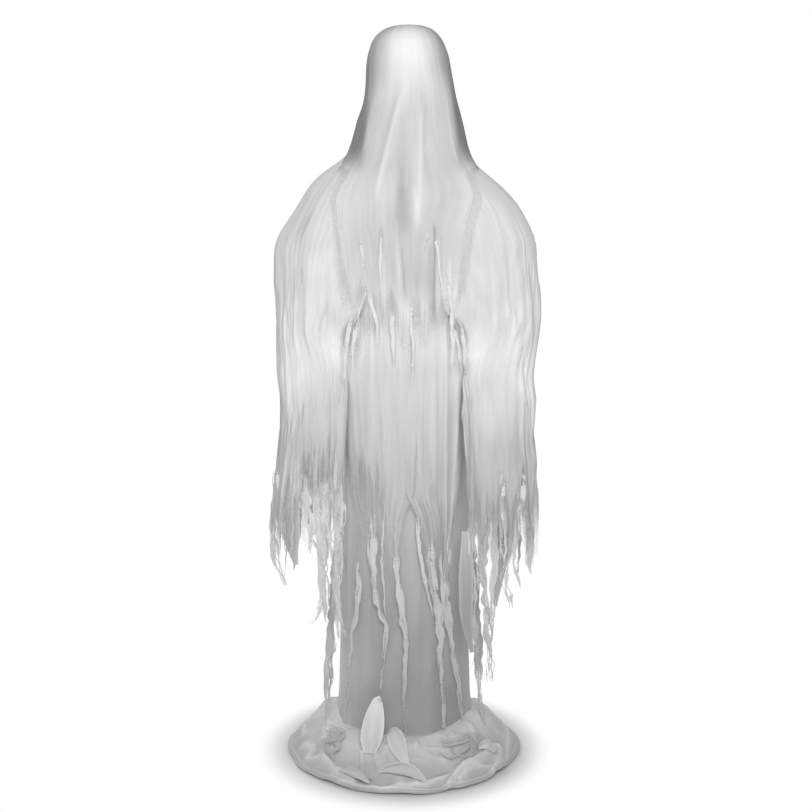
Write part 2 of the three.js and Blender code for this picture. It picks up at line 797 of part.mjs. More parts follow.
function buildWaistDrive() {
  addPart(figure, "waist_drive_case", waistCase(), greyPlastic);
  addPart(figure, "waist_drive_lid", driveLid(waist, waistTower, bushRadius + fit), greyPlastic);
  addPart(figure, "waist_motor", motor(waist, waistMotorRadius, waistMotorLength), steel);
  addPart(figure, "waist_lower_bush", bush(waist.floorTop + fit, mouldedWall), bronze);
  addPart(figure, "waist_upper_bush", bush(waist.lidTop + waistTower + fit, bushHeight), bronze);
  const waistPinion = pinion(waist.gearBottom, waist.offset, waist.floorTop - pinionShaftDepth);
  addPart(figure, "waist_pinion", waistPinion, whitePlastic);
  addPart(torso, "waist_gear", largeGear(waistGearTeeth, waist.gearBottom), whitePlastic);
  addPart(torso, "waist_shaft", waistShaft(), steel);
}

// Torso frame: the spine tube carries a hanger-shaped shoulder yoke

const spineBottom = waistCollar + collarThickness + fit;
const spineTop = yokeSeat - 8;

function spineTube() {
  return pipe(spineRadius, spineRadius - spineWall, spineBottom, spineTop);
}

const capeCrown = collarHeight - 10;
const shoulderCrest = capeCrown - clothThickness + fit;
const crestInner = 96;
const capeHalfCrown = 150;
const crestOuter = capeHalfCrown - 8;
const gownSeat = 128;
const seatHalf = 56;
const strutPlaces = [66, 116, 166];

// Half of the yoke's outline, inset all round by a rib's width for its pocket
function yokeHalf(side, inset, innerX) {
  const shape = new THREE.Shape();
  const end = yokeReach - endDisc;
  shape.moveTo(side * innerX, yokeBottom + inset);
  shape.lineTo(side * gownSeat, yokeBottom + inset);
  shape.lineTo(side * (end - 12), shoulderHeight - lugRadius - 2 + inset);
  shape.lineTo(side * (end - inset), shoulderHeight - lugRadius - 2 + inset);
  shape.lineTo(side * (end - inset), shoulderHeight + lugRadius + 2 - inset);
  shape.lineTo(side * (end - 12), shoulderHeight + lugRadius + 6 - inset);
  shape.quadraticCurveTo(side * (crestOuter + 6), shoulderCrest - inset, side * crestOuter, shoulderCrest - inset);
  shape.lineTo(side * crestInner, shoulderCrest - inset);
  shape.quadraticCurveTo(side * (seatHalf + 20), shoulderCrest - inset, side * seatHalf, yokeSeat - inset);
  shape.lineTo(side * innerX, yokeSeat - inset);
  shape.closePath();
  return shape;
}

function shoulderYoke() {
  const half = yokeThickness / 2;
  const parts = [];
  const tools = [];
  for (const side of [-1, 1]) {
    const solid = upright(yokeHalf(side, 0, 0), -half, half);
    const pocket = upright(yokeHalf(side, yokeRib, spineRadius + 10), -half + yokeRib, half + 1);
    const struts = strutPlaces.map((x) => block(
      yokeRib, yokeThickness - 5, shoulderCrest - yokeBottom - 34, side * x, -1.5, yokeBottom + 2,
    ));
    parts.push(join(cut(solid, pocket), ...struts));
    parts.push(rodX(lugRadius + 2, side * (yokeReach - endDisc), side * yokeReach, 0, shoulderHeight, roundSides));
    for (const x of [90, 141]) {
      tools.push(rodY(11, -half - 1, -half + yokeRib + 1, side * x, yokeBottom + 46, smallSides));
    }
    tools.push(rodX(pivotRadius + fit, side * (yokeReach - 16), side * (yokeReach + 2), 0, shoulderHeight, largeSides));
  }
  parts.push(rodZ(spineRadius + fit + 5, yokeBottom - 12, yokeSeat));
  tools.push(rodZ(spineRadius + fit, yokeBottom - 20, spineTop + fit));
  return cut(join(...parts), ...tools);
}

// Neck drive, seated on the middle of the yoke

const neck = driveLevels(neckGearTeeth, yokeSeat + fit);
const neckTower = 9;
const headHubBottom = neck.lidTop + neckTower + bushFlange + 3 * fit;

function neckShaft() {
  return turned([
    [0, neck.floorTop + fit], [shaftRadius, neck.floorTop + fit], [shaftRadius, headHubHeight + 16],
    [shaftRadius - 1, headHubHeight + 18], [0, headHubHeight + 18],
  ]);
}

function buildTorsoFrame() {
  addPart(torso, "spine_tube", spineTube(), paintedSteel);
  addPart(torso, "shoulder_yoke", shoulderYoke(), blackPlastic);
  addPart(torso, "neck_drive_case", driveCase(neck, 1), greyPlastic);
  addPart(torso, "neck_drive_lid", driveLid(neck, neckTower, bushRadius + fit), greyPlastic);
  addPart(torso, "neck_motor", motor(neck, neckMotorRadius, neckMotorLength), steel);
  addPart(torso, "neck_bush", bush(neck.lidTop + neckTower + fit, bushHeight), bronze);
  const neckPinion = pinion(neck.gearBottom, neck.offset, neck.floorTop - pinionShaftDepth);
  addPart(torso, "neck_pinion", neckPinion, whitePlastic);
  addPart(head, "neck_gear", largeGear(neckGearTeeth, neck.gearBottom), whitePlastic);
  addPart(head, "neck_shaft", neckShaft(), steel);
}

// Head: a hub on the neck shaft carries two thin blow-moulded shells, plain and without a face

const headBottom = headHubHeight + headHubThickness;
const headTop = figureHeight - clothThickness - fit;

// Share of the head's height against its share of the half width
const headOutline = [
  [0, 0.6], [0.15, 0.79], [0.35, 0.95], [0.57, 1], [0.76, 0.95], [0.89, 0.76], [0.965, 0.41], [1, 0.1],
];

function headRings(inset) {
  const sides = 18;
  return headOutline.map(([rise, share]) => {
    const height = headBottom + rise * (headTop - headBottom) - inset * rise * rise;
    const ring = [];
    for (let i = 0; i < sides; i++) {
      const angle = (i * 2 * Math.PI) / sides;
      ring.push(new THREE.Vector3(
        (headHalfWidth * share - inset * Math.min(1, share * 4)) * Math.cos(angle),
        (headHalfDepth * share - inset * Math.min(1, share * 4)) * Math.sin(angle), height,
      ));
    }
    return ring;
  });
}

function headShell(front) {
  const outer = headRings(0);
  const inner = headRings(headShellWall);
  const whole = shell(outer, inner, true);
  const seam = fit / 2;
  const big = 2 * headHalfDepth;
  const half = front ? block(big * 2, big, big * 3, 0, big / 2 - seam, headBottom - 50)
    : block(big * 2, big, big * 3, 0, seam - big / 2, headBottom - 50);
  const hubTrim = rodZ(headHubRadius + fit, headBottom - 20, headBottom + 0.1, 0, 0, largeSides);
  return cut(whole, half, hubTrim);
}

// A disc with a long boss; its edge carries the rims of both shells
function headHub() {
  const flange = headOutline[0][1];
  const seatX = headHalfWidth * flange;
  const seatY = headHalfDepth * flange;
  const rim = new THREE.Shape();
  rim.absellipse(0, 0, seatX, seatY, 0, 2 * Math.PI, false, 0);
  return cut(
    join(
      plate(rim, headHubHeight, headBottom - fit, 9),
      rodZ(shaftRadius + 8, headHubBottom, headHubHeight + 14),
    ),
    rodZ(shaftRadius + fit, headHubBottom - 1, headHubHeight + 20),
  );
}

function buildHead() {
  addPart(head, "head_hub", headHub(), blackPlastic);
  addPart(head, "head_shell_front", headShell(true), whitePlastic);
  addPart(head, "head_shell_back", headShell(false), whitePlastic);
}

// Arms: a lug on the shoulder bolt, a bent upper arm, an elbow and a forearm

function armPoint(side, [x, y, z]) {
  return [side * x, y, z];
}

const lugInner = yokeReach + fit;
const lugOuter = lugInner + lugThickness;
const armTopX = lugInner + lugThickness - 4;

const upperArmRoute = [
  [armTopX, 0, shoulderHeight - lugRadius + 2],
  [armTopX + 5, 0, shoulderHeight - 70],
  [armTopX + 22, 0, shoulderHeight - 190],
  [armTopX + 36, -3, elbowHeight + 30],
];
const forearmRoute = [
  [armTopX + 36, -34, elbowHeight - 28],
  [armTopX + 30, -76, elbowHeight - 120],
  [armTopX + 18, -130, wristHeight],
];
const elbowRoute = [
  [armTopX + 35.2, -2, elbowHeight + 52],
  [armTopX + 37.5, -9, elbowHeight + 8],
  [armTopX + 34.5, -44, elbowHeight - 48],
];

function extended(route, reach) {
  const points = route.map(([x, y, z]) => new THREE.Vector3(x, y, z));
  const last = points.length - 1;
  const startStep = points[0].clone().sub(points[1]).normalize().multiplyScalar(reach);
  const endStep = points[last].clone().sub(points[last - 1]).normalize().multiplyScalar(reach);
  const first = points[0].clone().add(startStep);
  const final = points[last].clone().add(endStep);
  return [first.toArray(), ...route.slice(1, -1), final.toArray()];
}

function upperArm(side) {
  const tube = barAlong(curveThrough(upperArmRoute.map((point) => armPoint(side, point))), armTubeRadius, 5);
  const lug = rodX(lugRadius, side * lugInner, side * lugOuter, 0, shoulderHeight);
  const rim = rodX(lugRadius - 4, side * (lugOuter - 3), side * (lugOuter + 1), 0, shoulderHeight);
  return cut(join(lug, tube), cut(rim, rodX(10, side * (lugOuter - 4), side * (lugOuter + 2), 0, shoulderHeight),
    block(60, 60, 60, side * lugOuter, 0, shoulderHeight - lugRadius - 52)),
  rodX(pivotRadius + fit, side * (lugInner - 1), side * (lugOuter + 1), 0, shoulderHeight, smallSides));
}

function elbow(side) {
  const body = barAlong(curveThrough(elbowRoute.map((point) => armPoint(side, point))), elbowRadius, 5, 10);
  const upperBore = barAlong(curveThrough(extended(upperArmRoute, fit).map((point) => armPoint(side, point))),
    armTubeRadius + fit, 5);
  const lowerBore = barAlong(curveThrough(extended(forearmRoute, fit).map((point) => armPoint(side, point))),
    armTubeRadius + fit, 4);
  return cut(body, upperBore, lowerBore);
}

function forearm(side) {
  const route = forearmRoute.map((point) => armPoint(side, point));
  const wrist = route[route.length - 1];
  const knob = new THREE.SphereGeometry(armTubeRadius * 1.7, 10, 6).translate(...wrist);
  return join(barAlong(curveThrough(route), armTubeRadius, 4), knob);
}

const boltHead = 5;
const boltEnd = lugOuter + 14;

function pivotBolt(side) {
  const headOuter = yokeReach - endDisc - yokeRib - fit;
  return join(
    rodX(pivotRadius, side * (headOuter - 1), side * boltEnd, 0, shoulderHeight, smallSides),
    rodX(pivotRadius * 2, side * (headOuter - boltHead), side * headOuter, 0, shoulderHeight, 6),
  );
}

function wingNut(side) {
  const from = lugOuter + fit;
  const wingReach = 14;
  const wing = new THREE.Shape();
  wing.moveTo(3, 0);
  wing.lineTo(8, 0);
  wing.quadraticCurveTo(wingReach, 3, wingReach, 9);
  wing.quadraticCurveTo(wingReach - 5, 11, 8, 7);
  wing.lineTo(3, 7);
  const wings = [-1, 1].map((turn) => new THREE.ExtrudeGeometry(wing, {
    depth: 3, bevelEnabled: false, curveSegments: 2,
  }).translate(0, 0, -1.5)
    .rotateZ(-Math.PI / 2)
    .rotateX(turn > 0 ? 0 : Math.PI)
    .rotateY(side > 0 ? 0 : Math.PI)
    .translate(side * from, 0, shoulderHeight));
  const hub = rodX(8, side * from, side * (from + 8), 0, shoulderHeight);
  return cut(join(hub, ...wings),
    rodX(pivotRadius + fit, side * (from - 1), side * (from + 12), 0, shoulderHeight, smallSides));
}

const armSides = [["left", -1], ["right", 1]];
const armGroups = armSides.map(([, side]) => {
  const group = new THREE.Group();
  group.position.set(side * yokeReach, 0, shoulderHeight - waistHeight);
  torso.add(group);
  return group;
});

function buildArms() {
  armSides.forEach(([name, side], i) => {
    addPart(armGroups[i], `${name}_pivot_bolt`, pivotBolt(side), steel);
    addPart(armGroups[i], `${name}_wing_nut`, wingNut(side), steel);
    addPart(armGroups[i], `${name}_upper_arm`, upperArm(side), greyPlastic);
    addPart(armGroups[i], `${name}_elbow`, elbow(side), blackPlastic);
    addPart(armGroups[i], `${name}_forearm`, forearm(side), greyPlastic);
  });
}

// Cloth: every piece is a thin shell of level rings with its main folds

// Rings of a cloth piece. Each level is [height, half width, half depth, centre y, fold depth].
// shape(level, angle, inset) gives one point; the inner copy is inset by the cloth's thickness,
// sideways where the cloth hangs and downwards where it lies nearly level.
function clothRings(levels, sides, point, inset) {
  return levels.map((level, i) => {
    const below = levels[Math.max(0, i - 1)];
    const above = levels[Math.min(levels.length - 1, i + 1)];
    const rise = above[0] - below[0];
    const draw = below[1] - above[1];
    const length = Math.hypot(rise, draw) || 1;
    const sideways = (inset * rise) / length;
    const downwards = (inset * draw) / length;
    const ring = [];
    for (let k = 0; k < sides; k++) {
      const angle = (k * 2 * Math.PI) / sides;
      ring.push(point([level[0] - downwards, level[1] - sideways, level[2] - sideways, level[3], level[4]],
        angle, i, inset));
    }
    return ring;
  });
}

function clothPiece(levels, sides, point, closedTop) {
  return shell(
    clothRings(levels, sides, point, 0), clothRings(levels, sides, point, clothThickness), closedTop,
  );
}

// Uneven folds round a ring: a few waves of unlike count, between -1 and 1
function folds(angle, count, phase) {
  return 0.6 * Math.cos(count * angle + phase) + 0.4 * Math.cos((count * 2 + 3) * angle - 2 * phase);
}

// Torn hem: long tongues and short tears round the lowest ring, between 0 and 1
function tornHem(angle, count, phase) {
  const wave = 0.5 + 0.5 * Math.sin(count * angle + phase);
  const ripple = 0.5 + 0.5 * Math.sin((2 * count + 1) * angle + 2.3 * phase);
  return 0.65 * wave * wave + 0.35 * ripple;
}

const hemRoof = baseHeight + clothGap + clothThickness;
const skirtBottom = hemRoof + clothGap;
const gownBreak = waistHeight + 6;
const skirtHalfWidth = 168;
const skirtHalfDepth = 150;

function gownPoint([z, a, b, y, depth], angle) {
  const wave = depth * folds(angle, 9, 0.4);
  return new THREE.Vector3((a + wave) * Math.cos(angle), y + (b + wave) * Math.sin(angle), z);
}

function gownSkirt() {
  return clothPiece([
    [skirtBottom, skirtHalfWidth, skirtHalfDepth, 0, 5],
    [skirtBottom + 140, 162, 146, 0, 4],
    [560, 163, 147, 0, 5],
    [gownBreak - clothGap, 167, 150, 0, 4],
  ], 32, gownPoint, false);
}

function gownBody() {
  return clothPiece([
    [gownBreak, 167, 150, 0, 4],
    [gownBreak + 200, 171, 149, 0, 4],
    [yokeBottom - clothGap - 12, 160, 120, 0, 3],
    [yokeBottom - clothGap, 120, 60, 0, 0],
  ], 28, gownPoint, false);
}

// The cape lies over the yoke and falls front and back; its sides stop at the arms
function shoulderCape() {
  const limit = armholePlane - clothGap;
  const hem = gownBreak + 10;
  const levels = [
    [hem, 206, 178, -2, 6],
    [hem + 160, 206, 175, -2, 6],
    [1300, 206, 166, 0, 6],
    [1430, 205, 152, 0, 4],
    [1468, 195, 141, 0, 2],
    [1486, 178, 132, 0, 1],
    [capeCrown, capeHalfCrown, 118, 0, 0],
    [collarHeight, 79, 79, 6, 0],
  ];
  const point = ([z, a, b, y, depth], angle, level, inset) => {
    const wave = depth * folds(angle, 11, 1.1);
    const x = (a + wave) * Math.cos(angle);
    const lift = level === 0 ? 120 * (1 - tornHem(angle, 7, 0.8)) : 0;
    const edge = limit - inset;
    return new THREE.Vector3(
      THREE.MathUtils.clamp(x, -edge, edge), y + (b + wave) * Math.sin(angle), z + lift,
    );
  };
  const cape = clothPiece(levels, 32, point, false);
  return cut(cape, ...[-1, 1].map((side) => rodX(
    armholeRadius + fit, side * (armholePlane - 45), side * (armholePlane + 5), 0, shoulderHeight, largeSides,
  )));
}

// A sleeve hangs outside the cape's side. Over the shoulder it is one with the drape, so its section
// there is a slice of the wide body outline; below the elbow it closes round the forearm.
// Each level is [height, inner x, outer x, half depth, centre y, fold depth, share of body outline].
const sleeveLevels = [
  [640, 152, 316, 74, -156, 4, 0],
  [790, 150, 314, 77, -146, 5, 0],
  [930, 168, 313, 84, -106, 5, 0],
  [1000, armholePlane, 316, 110, -66, 4, 0.15],
  [1052, armholePlane, 321, 145, -38, 3, 0.5],
  [1115, armholePlane, 331, 178, -14, 5, 0.85],
  [1210, armholePlane, 330, 176, 0, 5, 1],
  [1300, armholePlane, 321, 168, 0, 4, 1],
  [1345, armholePlane, 302, 164, 0, 2, 1],
  [1390, armholePlane, 272, 158, 0, 1, 1],
  [1425, armholePlane, 246, 152, 0, 0, 1],
  [1448, armholePlane, 228, 146, 0, 0, 1],
  [1461, armholePlane, 206, 142, 0, 0, 1],
];
const sleeveSides = 24;
const bodyPower = 2 / 2.4;
const arcShare = 0.75;
const tongueTop = 46;
const tongueLength = 140;

function powered(value, power) {
  return Math.sign(value) * Math.abs(value) ** power;
}

// A point of the body outline's slice beyond x = inner; the turns past the arc lie on its flat side
function slicePoint(turn, inner, outer, depth) {
  const end = Math.acos(Math.min(1, inner / outer) ** (1 / bodyPower));
  const arc = Math.PI * arcShare;
  if (Math.abs(turn) <= arc) {
    const angle = (turn / arc) * end;
    return [outer * powered(Math.cos(angle), bodyPower), depth * powered(Math.sin(angle), bodyPower)];
  }
  const left = (Math.PI - Math.abs(turn)) / (Math.PI - arc);
  return [inner, Math.sign(turn) * left * depth * powered(Math.sin(end), bodyPower)];
}

function tubePoint(turn, inner, outer, depth) {
  const half = (outer - inner) / 2;
  const squareness = 0.8;
  const x = inner + half + half * powered(Math.cos(turn), squareness);
  return [x, depth * powered(Math.sin(turn), squareness)];
}

function sleeve(side) {
  const phase = 2.1;
  const thinnest = 2;
  const acrossShare = 0.7;
  const ringsAt = (inset) => sleeveLevels.map(([z, inner, outer, depth, y, fold, share], i) => {
    const below = sleeveLevels[Math.max(0, i - 1)];
    const above = sleeveLevels[Math.min(sleeveLevels.length - 1, i + 1)];
    const rise = above[0] - below[0];
    const draw = Math.max(0, below[2] - above[2]);
    const length = Math.hypot(rise, draw);
    const sideways = (inset * rise) / length;
    const down = (inset * draw) / length;
    const low = inner + inset;
    const high = Math.max(low + thinnest, outer - sideways);
    const deep = Math.max(thinnest, depth - Math.max(sideways, inset * acrossShare));
    const ring = [];
    for (let k = 0; k < sleeveSides; k++) {
      const turn = ((k * 2 * Math.PI) / sleeveSides + Math.PI) % (2 * Math.PI) - Math.PI;
      const mirrored = -side * turn;
      const wave = fold * folds(mirrored, 7, phase);
      const [tubeX, tubeY] = tubePoint(turn, low, high + wave, deep + wave);
      const [sliceX, sliceY] = slicePoint(turn, low, high + wave, deep + wave);
      const x = Math.max(low, tubeX + (sliceX - tubeX) * share);
      const across = tubeY + (sliceY - tubeY) * share;
      const hem = i === 0 ? tongueTop - tongueLength * tornHem(mirrored, 5, phase) : 0;
      ring.push(new THREE.Vector3(side * x, y + side * across, z - down + hem));
    }
    return ring;
  });
  const body = shell(ringsAt(0), ringsAt(clothThickness), true);
  const [drillFrom, drillTo] = [armholePlane - 5, armholePlane + 8];
  return cut(body, rodX(armholeRadius, side * drillFrom, side * drillTo, 0, shoulderHeight, largeSides));
}

// The hood is drawn over the head and flares to rest just above the cape
function hood() {
  const rise = figureHeight - collarHeight;
  const bottom = collarHeight + clothThickness + clothGap;
  const outline = [
    [0, 152, 126, 6], [0.14, 141, 124, 6], [0.3, 128, 121, 4.5], [0.45, 116, 118, 3],
    [0.6, 105, 114, 1.5], [0.75, 98, 109, 0.6], [0.86, 84, 95, 0], [0.94, 60, 68, 0],
    [0.985, 31, 36, 0], [1, 11, 13, 0],
  ];
  const levels = outline.map(([share, a, b, depth]) => [
    Math.max(bottom, collarHeight + share * rise), a, b, 0, depth,
  ]);
  return clothPiece(levels, 26, ([z, a, b, y, depth], angle) => {
    const wave = depth * folds(angle, 8, 0.2);
    return new THREE.Vector3((a + wave) * Math.cos(angle), y + (b + wave) * Math.sin(angle), z);
  }, true);
}

// How far the base's outline lies from the centre in one direction
function baseReach(angle) {
  const [c, s] = [Math.abs(Math.cos(angle)), Math.abs(Math.sin(angle))];
  const [x, y] = [baseWidth / 2 - baseCorner, baseDepth / 2 - baseCorner];
  const flat = Math.min(baseWidth / 2 / c, baseDepth / 2 / s);
  if (flat * c <= x || flat * s <= y) return flat;
  const along = x * c + y * s;
  return along + Math.sqrt(baseCorner ** 2 - (x * x + y * y - along ** 2));
}

// The satin hem lies over the base, stands up in a heap round the gown's foot and spreads on the floor.
// Each level is [share of the way from the gown to the rim, height at the front, height elsewhere].
const heapLevels = [
  [1, 3, 3], [0.9, 8, 12], [0.74, 13, 30], [0.56, 25, 50],
  [0.4, 44, 68], [0.24, 66, 86], [0.1, 78, 98], [0, 79, 97],
];
const gownClearance = 10;
const heapFold = 7;

function hemPuddle() {
  const sides = 40;
  const rimWave = 0.012;
  const grooveWidth = 3;
  const mouthRadius = socketOuter + 40;
  const coverMargin = 8;
  const lowestCloth = 3;
  const frontDip = 0.8;
  const rim = (angle) => puddleRadius * (1 - rimWave * (1 + Math.cos(5 * angle + 1)));
  const gownReach = (angle) => 1 / Math.hypot(
    Math.cos(angle) / (skirtHalfWidth + gownClearance), Math.sin(angle) / (skirtHalfDepth + gownClearance),
  );
  const heap = (angle) => 1 - frontDip * Math.max(0, -Math.sin(angle)) ** 2;
  const ringOf = (point) => {
    const ring = [];
    for (let k = 0; k < sides; k++) {
      const angle = (k * 2 * Math.PI) / sides;
      const [radius, z] = point(angle);
      ring.push(new THREE.Vector3(radius * Math.cos(angle), radius * Math.sin(angle), z));
    }
    return ring;
  };
  const level = ([share, low, high]) => ringOf((angle) => {
    const radius = gownReach(angle) + share * (rim(angle) - gownReach(angle));
    const slope = 4 * share * (1 - share);
    const height = low + (high - low) * heap(angle) + heapFold * slope * folds(angle, 11, 0.9);
    const overBase = radius < baseReach(angle) + coverMargin ? hemRoof + 1 : lowestCloth;
    return [radius, Math.max(overBase, height)];
  });
  const groove = ringOf((angle) => [gownReach(angle) - grooveWidth, hemRoof]);
  const mouthRing = (height) => ringOf(() => [mouthRadius, height]);
  const onFloor = ringOf((angle) => [rim(angle), 0]);
  const solid = skin([...heapLevels.map(level), groove, mouthRing(hemRoof), mouthRing(0), onFloor], true);
  const pocket = tapered(
    baseWidth + 2 * clothGap, baseDepth + 2 * clothGap, baseCorner + clothGap,
    -1, baseHeight + clothGap, 1, 8,
  );
  return cut(solid, pocket);
}

function buildCloth() {
  addPart(figure, "hem_puddle", hemPuddle(), satin);
  addPart(figure, "gown_skirt", gownSkirt(), satin);
  addPart(torso, "gown_body", gownBody(), satin);
  addPart(torso, "shoulder_cape", shoulderCape(), gauze);
  addPart(head, "hood", hood(), gauze);
  armSides.forEach(([name, side], i) => {
    addPart(armGroups[i], `${name}_sleeve`, sleeve(side), gauze);
  });
}

buildBase();
buildPoles();
buildWaistDrive();
buildTorsoFrame();
buildHead();
buildArms();
buildCloth();

export default figure;
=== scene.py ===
# %% [markdown]
# # An animated ghost figure, draped in torn cloth
# The figure is a pole frame with geared waist and neck, hidden under cloth. The frame comes from the
# CAD model. This lesson hangs the cloth on it, one sheet after another, and then finishes every surface.
# Cloth is what the eye sees here, so most cells are about folds, torn hems and open weaves.

# %% Load the frame
import json
import math

import bpy
import numpy as np
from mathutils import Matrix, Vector


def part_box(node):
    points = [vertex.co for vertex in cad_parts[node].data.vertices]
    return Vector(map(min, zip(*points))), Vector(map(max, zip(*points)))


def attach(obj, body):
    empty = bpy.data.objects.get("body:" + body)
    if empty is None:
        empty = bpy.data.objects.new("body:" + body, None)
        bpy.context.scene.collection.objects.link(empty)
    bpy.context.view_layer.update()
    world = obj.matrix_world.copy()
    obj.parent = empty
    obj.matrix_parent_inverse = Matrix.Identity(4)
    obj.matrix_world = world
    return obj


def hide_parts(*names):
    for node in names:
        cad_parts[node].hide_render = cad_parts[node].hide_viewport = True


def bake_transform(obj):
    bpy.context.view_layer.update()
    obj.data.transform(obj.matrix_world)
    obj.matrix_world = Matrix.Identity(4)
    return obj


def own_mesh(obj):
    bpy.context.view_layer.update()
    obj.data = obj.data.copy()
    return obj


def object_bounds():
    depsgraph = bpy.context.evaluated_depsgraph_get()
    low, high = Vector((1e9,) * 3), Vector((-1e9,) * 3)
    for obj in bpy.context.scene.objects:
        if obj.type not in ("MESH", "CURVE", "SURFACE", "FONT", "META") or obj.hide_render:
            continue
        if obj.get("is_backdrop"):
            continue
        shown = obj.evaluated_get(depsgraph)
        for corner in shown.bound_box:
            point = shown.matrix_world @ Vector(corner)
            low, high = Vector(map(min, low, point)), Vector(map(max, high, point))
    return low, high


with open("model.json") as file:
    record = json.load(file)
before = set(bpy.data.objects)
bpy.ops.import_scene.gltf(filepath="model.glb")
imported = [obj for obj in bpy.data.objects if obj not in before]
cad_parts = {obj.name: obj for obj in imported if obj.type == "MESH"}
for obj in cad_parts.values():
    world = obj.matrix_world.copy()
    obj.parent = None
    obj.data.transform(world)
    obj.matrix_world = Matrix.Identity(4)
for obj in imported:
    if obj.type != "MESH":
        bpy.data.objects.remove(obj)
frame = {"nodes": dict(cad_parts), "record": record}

cad_box = [list(corner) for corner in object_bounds()]
bpy.ops.object.select_all(action="DESELECT")
print("CAD nodes:", len(frame["nodes"]))

# %% [markdown]
# ## The camera
# The photograph looks at the figure from straight ahead, from about 3 m away and a little above its
# chest: the floor cloth is seen from above and the head almost level. A camera at breast height that
# leans down by 8 degrees gives both. The lens is set so that the figure fills the frame's height.

# %% Camera
view_distance = 3.0
camera_height = 1.336
camera_aside = 0.0043
lean_down = math.radians(8.27)
sensor_mm = 36
lens_mm = 53.14

camera_data = bpy.data.cameras.new("portrait_camera")
camera_data.sensor_width = sensor_mm
camera_data.lens = lens_mm
camera = bpy.data.objects.new("portrait_camera", camera_data)
camera.location = (camera_aside, -view_distance, camera_height)
camera.rotation_euler = (math.pi / 2 - lean_down, 0, 0)
bpy.context.scene.collection.objects.link(camera)
bpy.context.scene.camera = camera
bpy.context.scene.view_settings.view_transform = "Standard"
print("camera at", tuple(round(x, 3) for x in camera.location))

# %% [markdown]
# ## Colours and nodes
# Every colour is written as the sRGB hex value that the eye knows, and one function turns it into the
# linear values that a shader wants. One more function adds a node, sets it up and joins its inputs.

# %% Colour and node helpers
def linear(hex_code):
    """An sRGB hex colour as linear red, green, blue and an alpha of 1."""
    parts = [int(hex_code[i:i + 2], 16) / 255 for i in (0, 2, 4)]
    return (*[c / 12.92 if c <= 0.04045 else ((c + 0.055) / 1.055) ** 2.4 for c in parts], 1)


def put(tree, kind, inputs=None, stops=(), **settings):
    """Adds a shader node. An input given as a node is joined to that node's first output, one given
    as a socket is joined to it, and any other is set as a value. stops are (position, hex) pairs for
    the two ends of a colour ramp."""
    node = tree.nodes.new("ShaderNode" + kind)
    for name, value in settings.items():
        setattr(node, name, value)
    for name, value in (inputs or {}).items():
        if isinstance(value, bpy.types.Node):
            value = value.outputs[0]
        if isinstance(value, bpy.types.NodeSocket):
            tree.links.new(value, node.inputs[name])
        else:
            node.inputs[name].default_value = value
    for number, (position, hex_code) in enumerate(stops):
        node.color_ramp.elements[number].position = position
        node.color_ramp.elements[number].color = linear(hex_code)
    return node


def new_material(name):
    """A material with an empty node tree, and the tree."""
    material = bpy.data.materials.new(name)
    material.use_nodes = True
    material.node_tree.nodes.clear()
    return material, material.node_tree


print("pure white in linear light:", linear("ffffff"))

# %% [markdown]
# ## The studio
# The figure stands on pale paper before a white backdrop, lit by two large soft boxes. The floor has to
# keep the figure's shadow but shouldn't show where it ends. So what the camera sees of it fades to the
# backdrop's white just outside the floor cloth, while for the light it stays a plain pale floor.

# %% Studio floor
floor_size = 14
floor_gap = 0.0005
fade_start = 0.285
fade_end = 0.39


def seen_by_camera(tree):
    """1 for rays from the camera, also off a gloss or through something clear, and 0 for other rays."""
    rays = put(tree, "LightPath")
    seen = put(tree, "Math", {0: rays.outputs["Is Camera Ray"], 1: rays.outputs["Is Glossy Ray"]},
               operation="MAXIMUM")
    return put(tree, "Math", {0: seen, 1: rays.outputs["Is Transmission Ray"]}, operation="MAXIMUM")


def studio_floor():
    """A pale floor that keeps the figure's shadow and fades to the backdrop's white away from it."""
    bpy.ops.mesh.primitive_plane_add(size=floor_size, location=(0, 0, -floor_gap))
    floor = bpy.context.object
    floor.name = "studio_floor"
    material, tree = new_material("pale_studio_floor")
    paper = put(tree, "BsdfPrincipled", {"Base Color": linear("f4f4f4"), "Roughness": 0.9})
    place = put(tree, "TexCoord").outputs["Object"]
    away = put(tree, "VectorMath", {0: place}, operation="LENGTH").outputs["Value"]
    fade = put(tree, "MapRange", {"Value": away, "From Min": fade_start, "From Max": fade_end},
               interpolation_type="SMOOTHSTEP")
    share = put(tree, "Math", {0: fade, 1: seen_by_camera(tree)}, operation="MULTIPLY")
    white = put(tree, "Emission", {"Color": linear("ffffff"), "Strength": 1.0})
    mixed = put(tree, "MixShader", {0: share, 1: paper, 2: white})
    put(tree, "OutputMaterial", {"Surface": mixed})
    floor.data.materials.append(material)
    floor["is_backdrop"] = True


studio_floor()
print("the floor fades out from", fade_start, "to", fade_end, "m away from the middle")

# %% Light
def studio_world(ambient):
    """Even light all round, and plain white where the camera looks past the figure."""
    world = bpy.data.worlds.new("studio_world")
    world.use_nodes = True
    tree = world.node_tree
    tree.nodes.clear()
    strength = put(tree, "MapRange", {"Value": seen_by_camera(tree), "To Min": ambient, "To Max": 1.0})
    background = put(tree, "Background", {"Color": linear("ffffff"), "Strength": strength})
    put(tree, "OutputWorld", {"Surface": background})
    bpy.context.scene.world = world


def soft_light(name, place, aim, width, height, power):
    """A rectangular soft box that faces a point."""
    data = bpy.data.lights.new(name, "AREA")
    data.shape = "RECTANGLE"
    data.size = width
    data.size_y = height
    data.energy = power
    lamp = bpy.data.objects.new(name, data)
    lamp.location = place
    lamp.rotation_euler = (Vector(aim) - Vector(place)).to_track_quat("-Z", "Y").to_euler()
    bpy.context.scene.collection.objects.link(lamp)


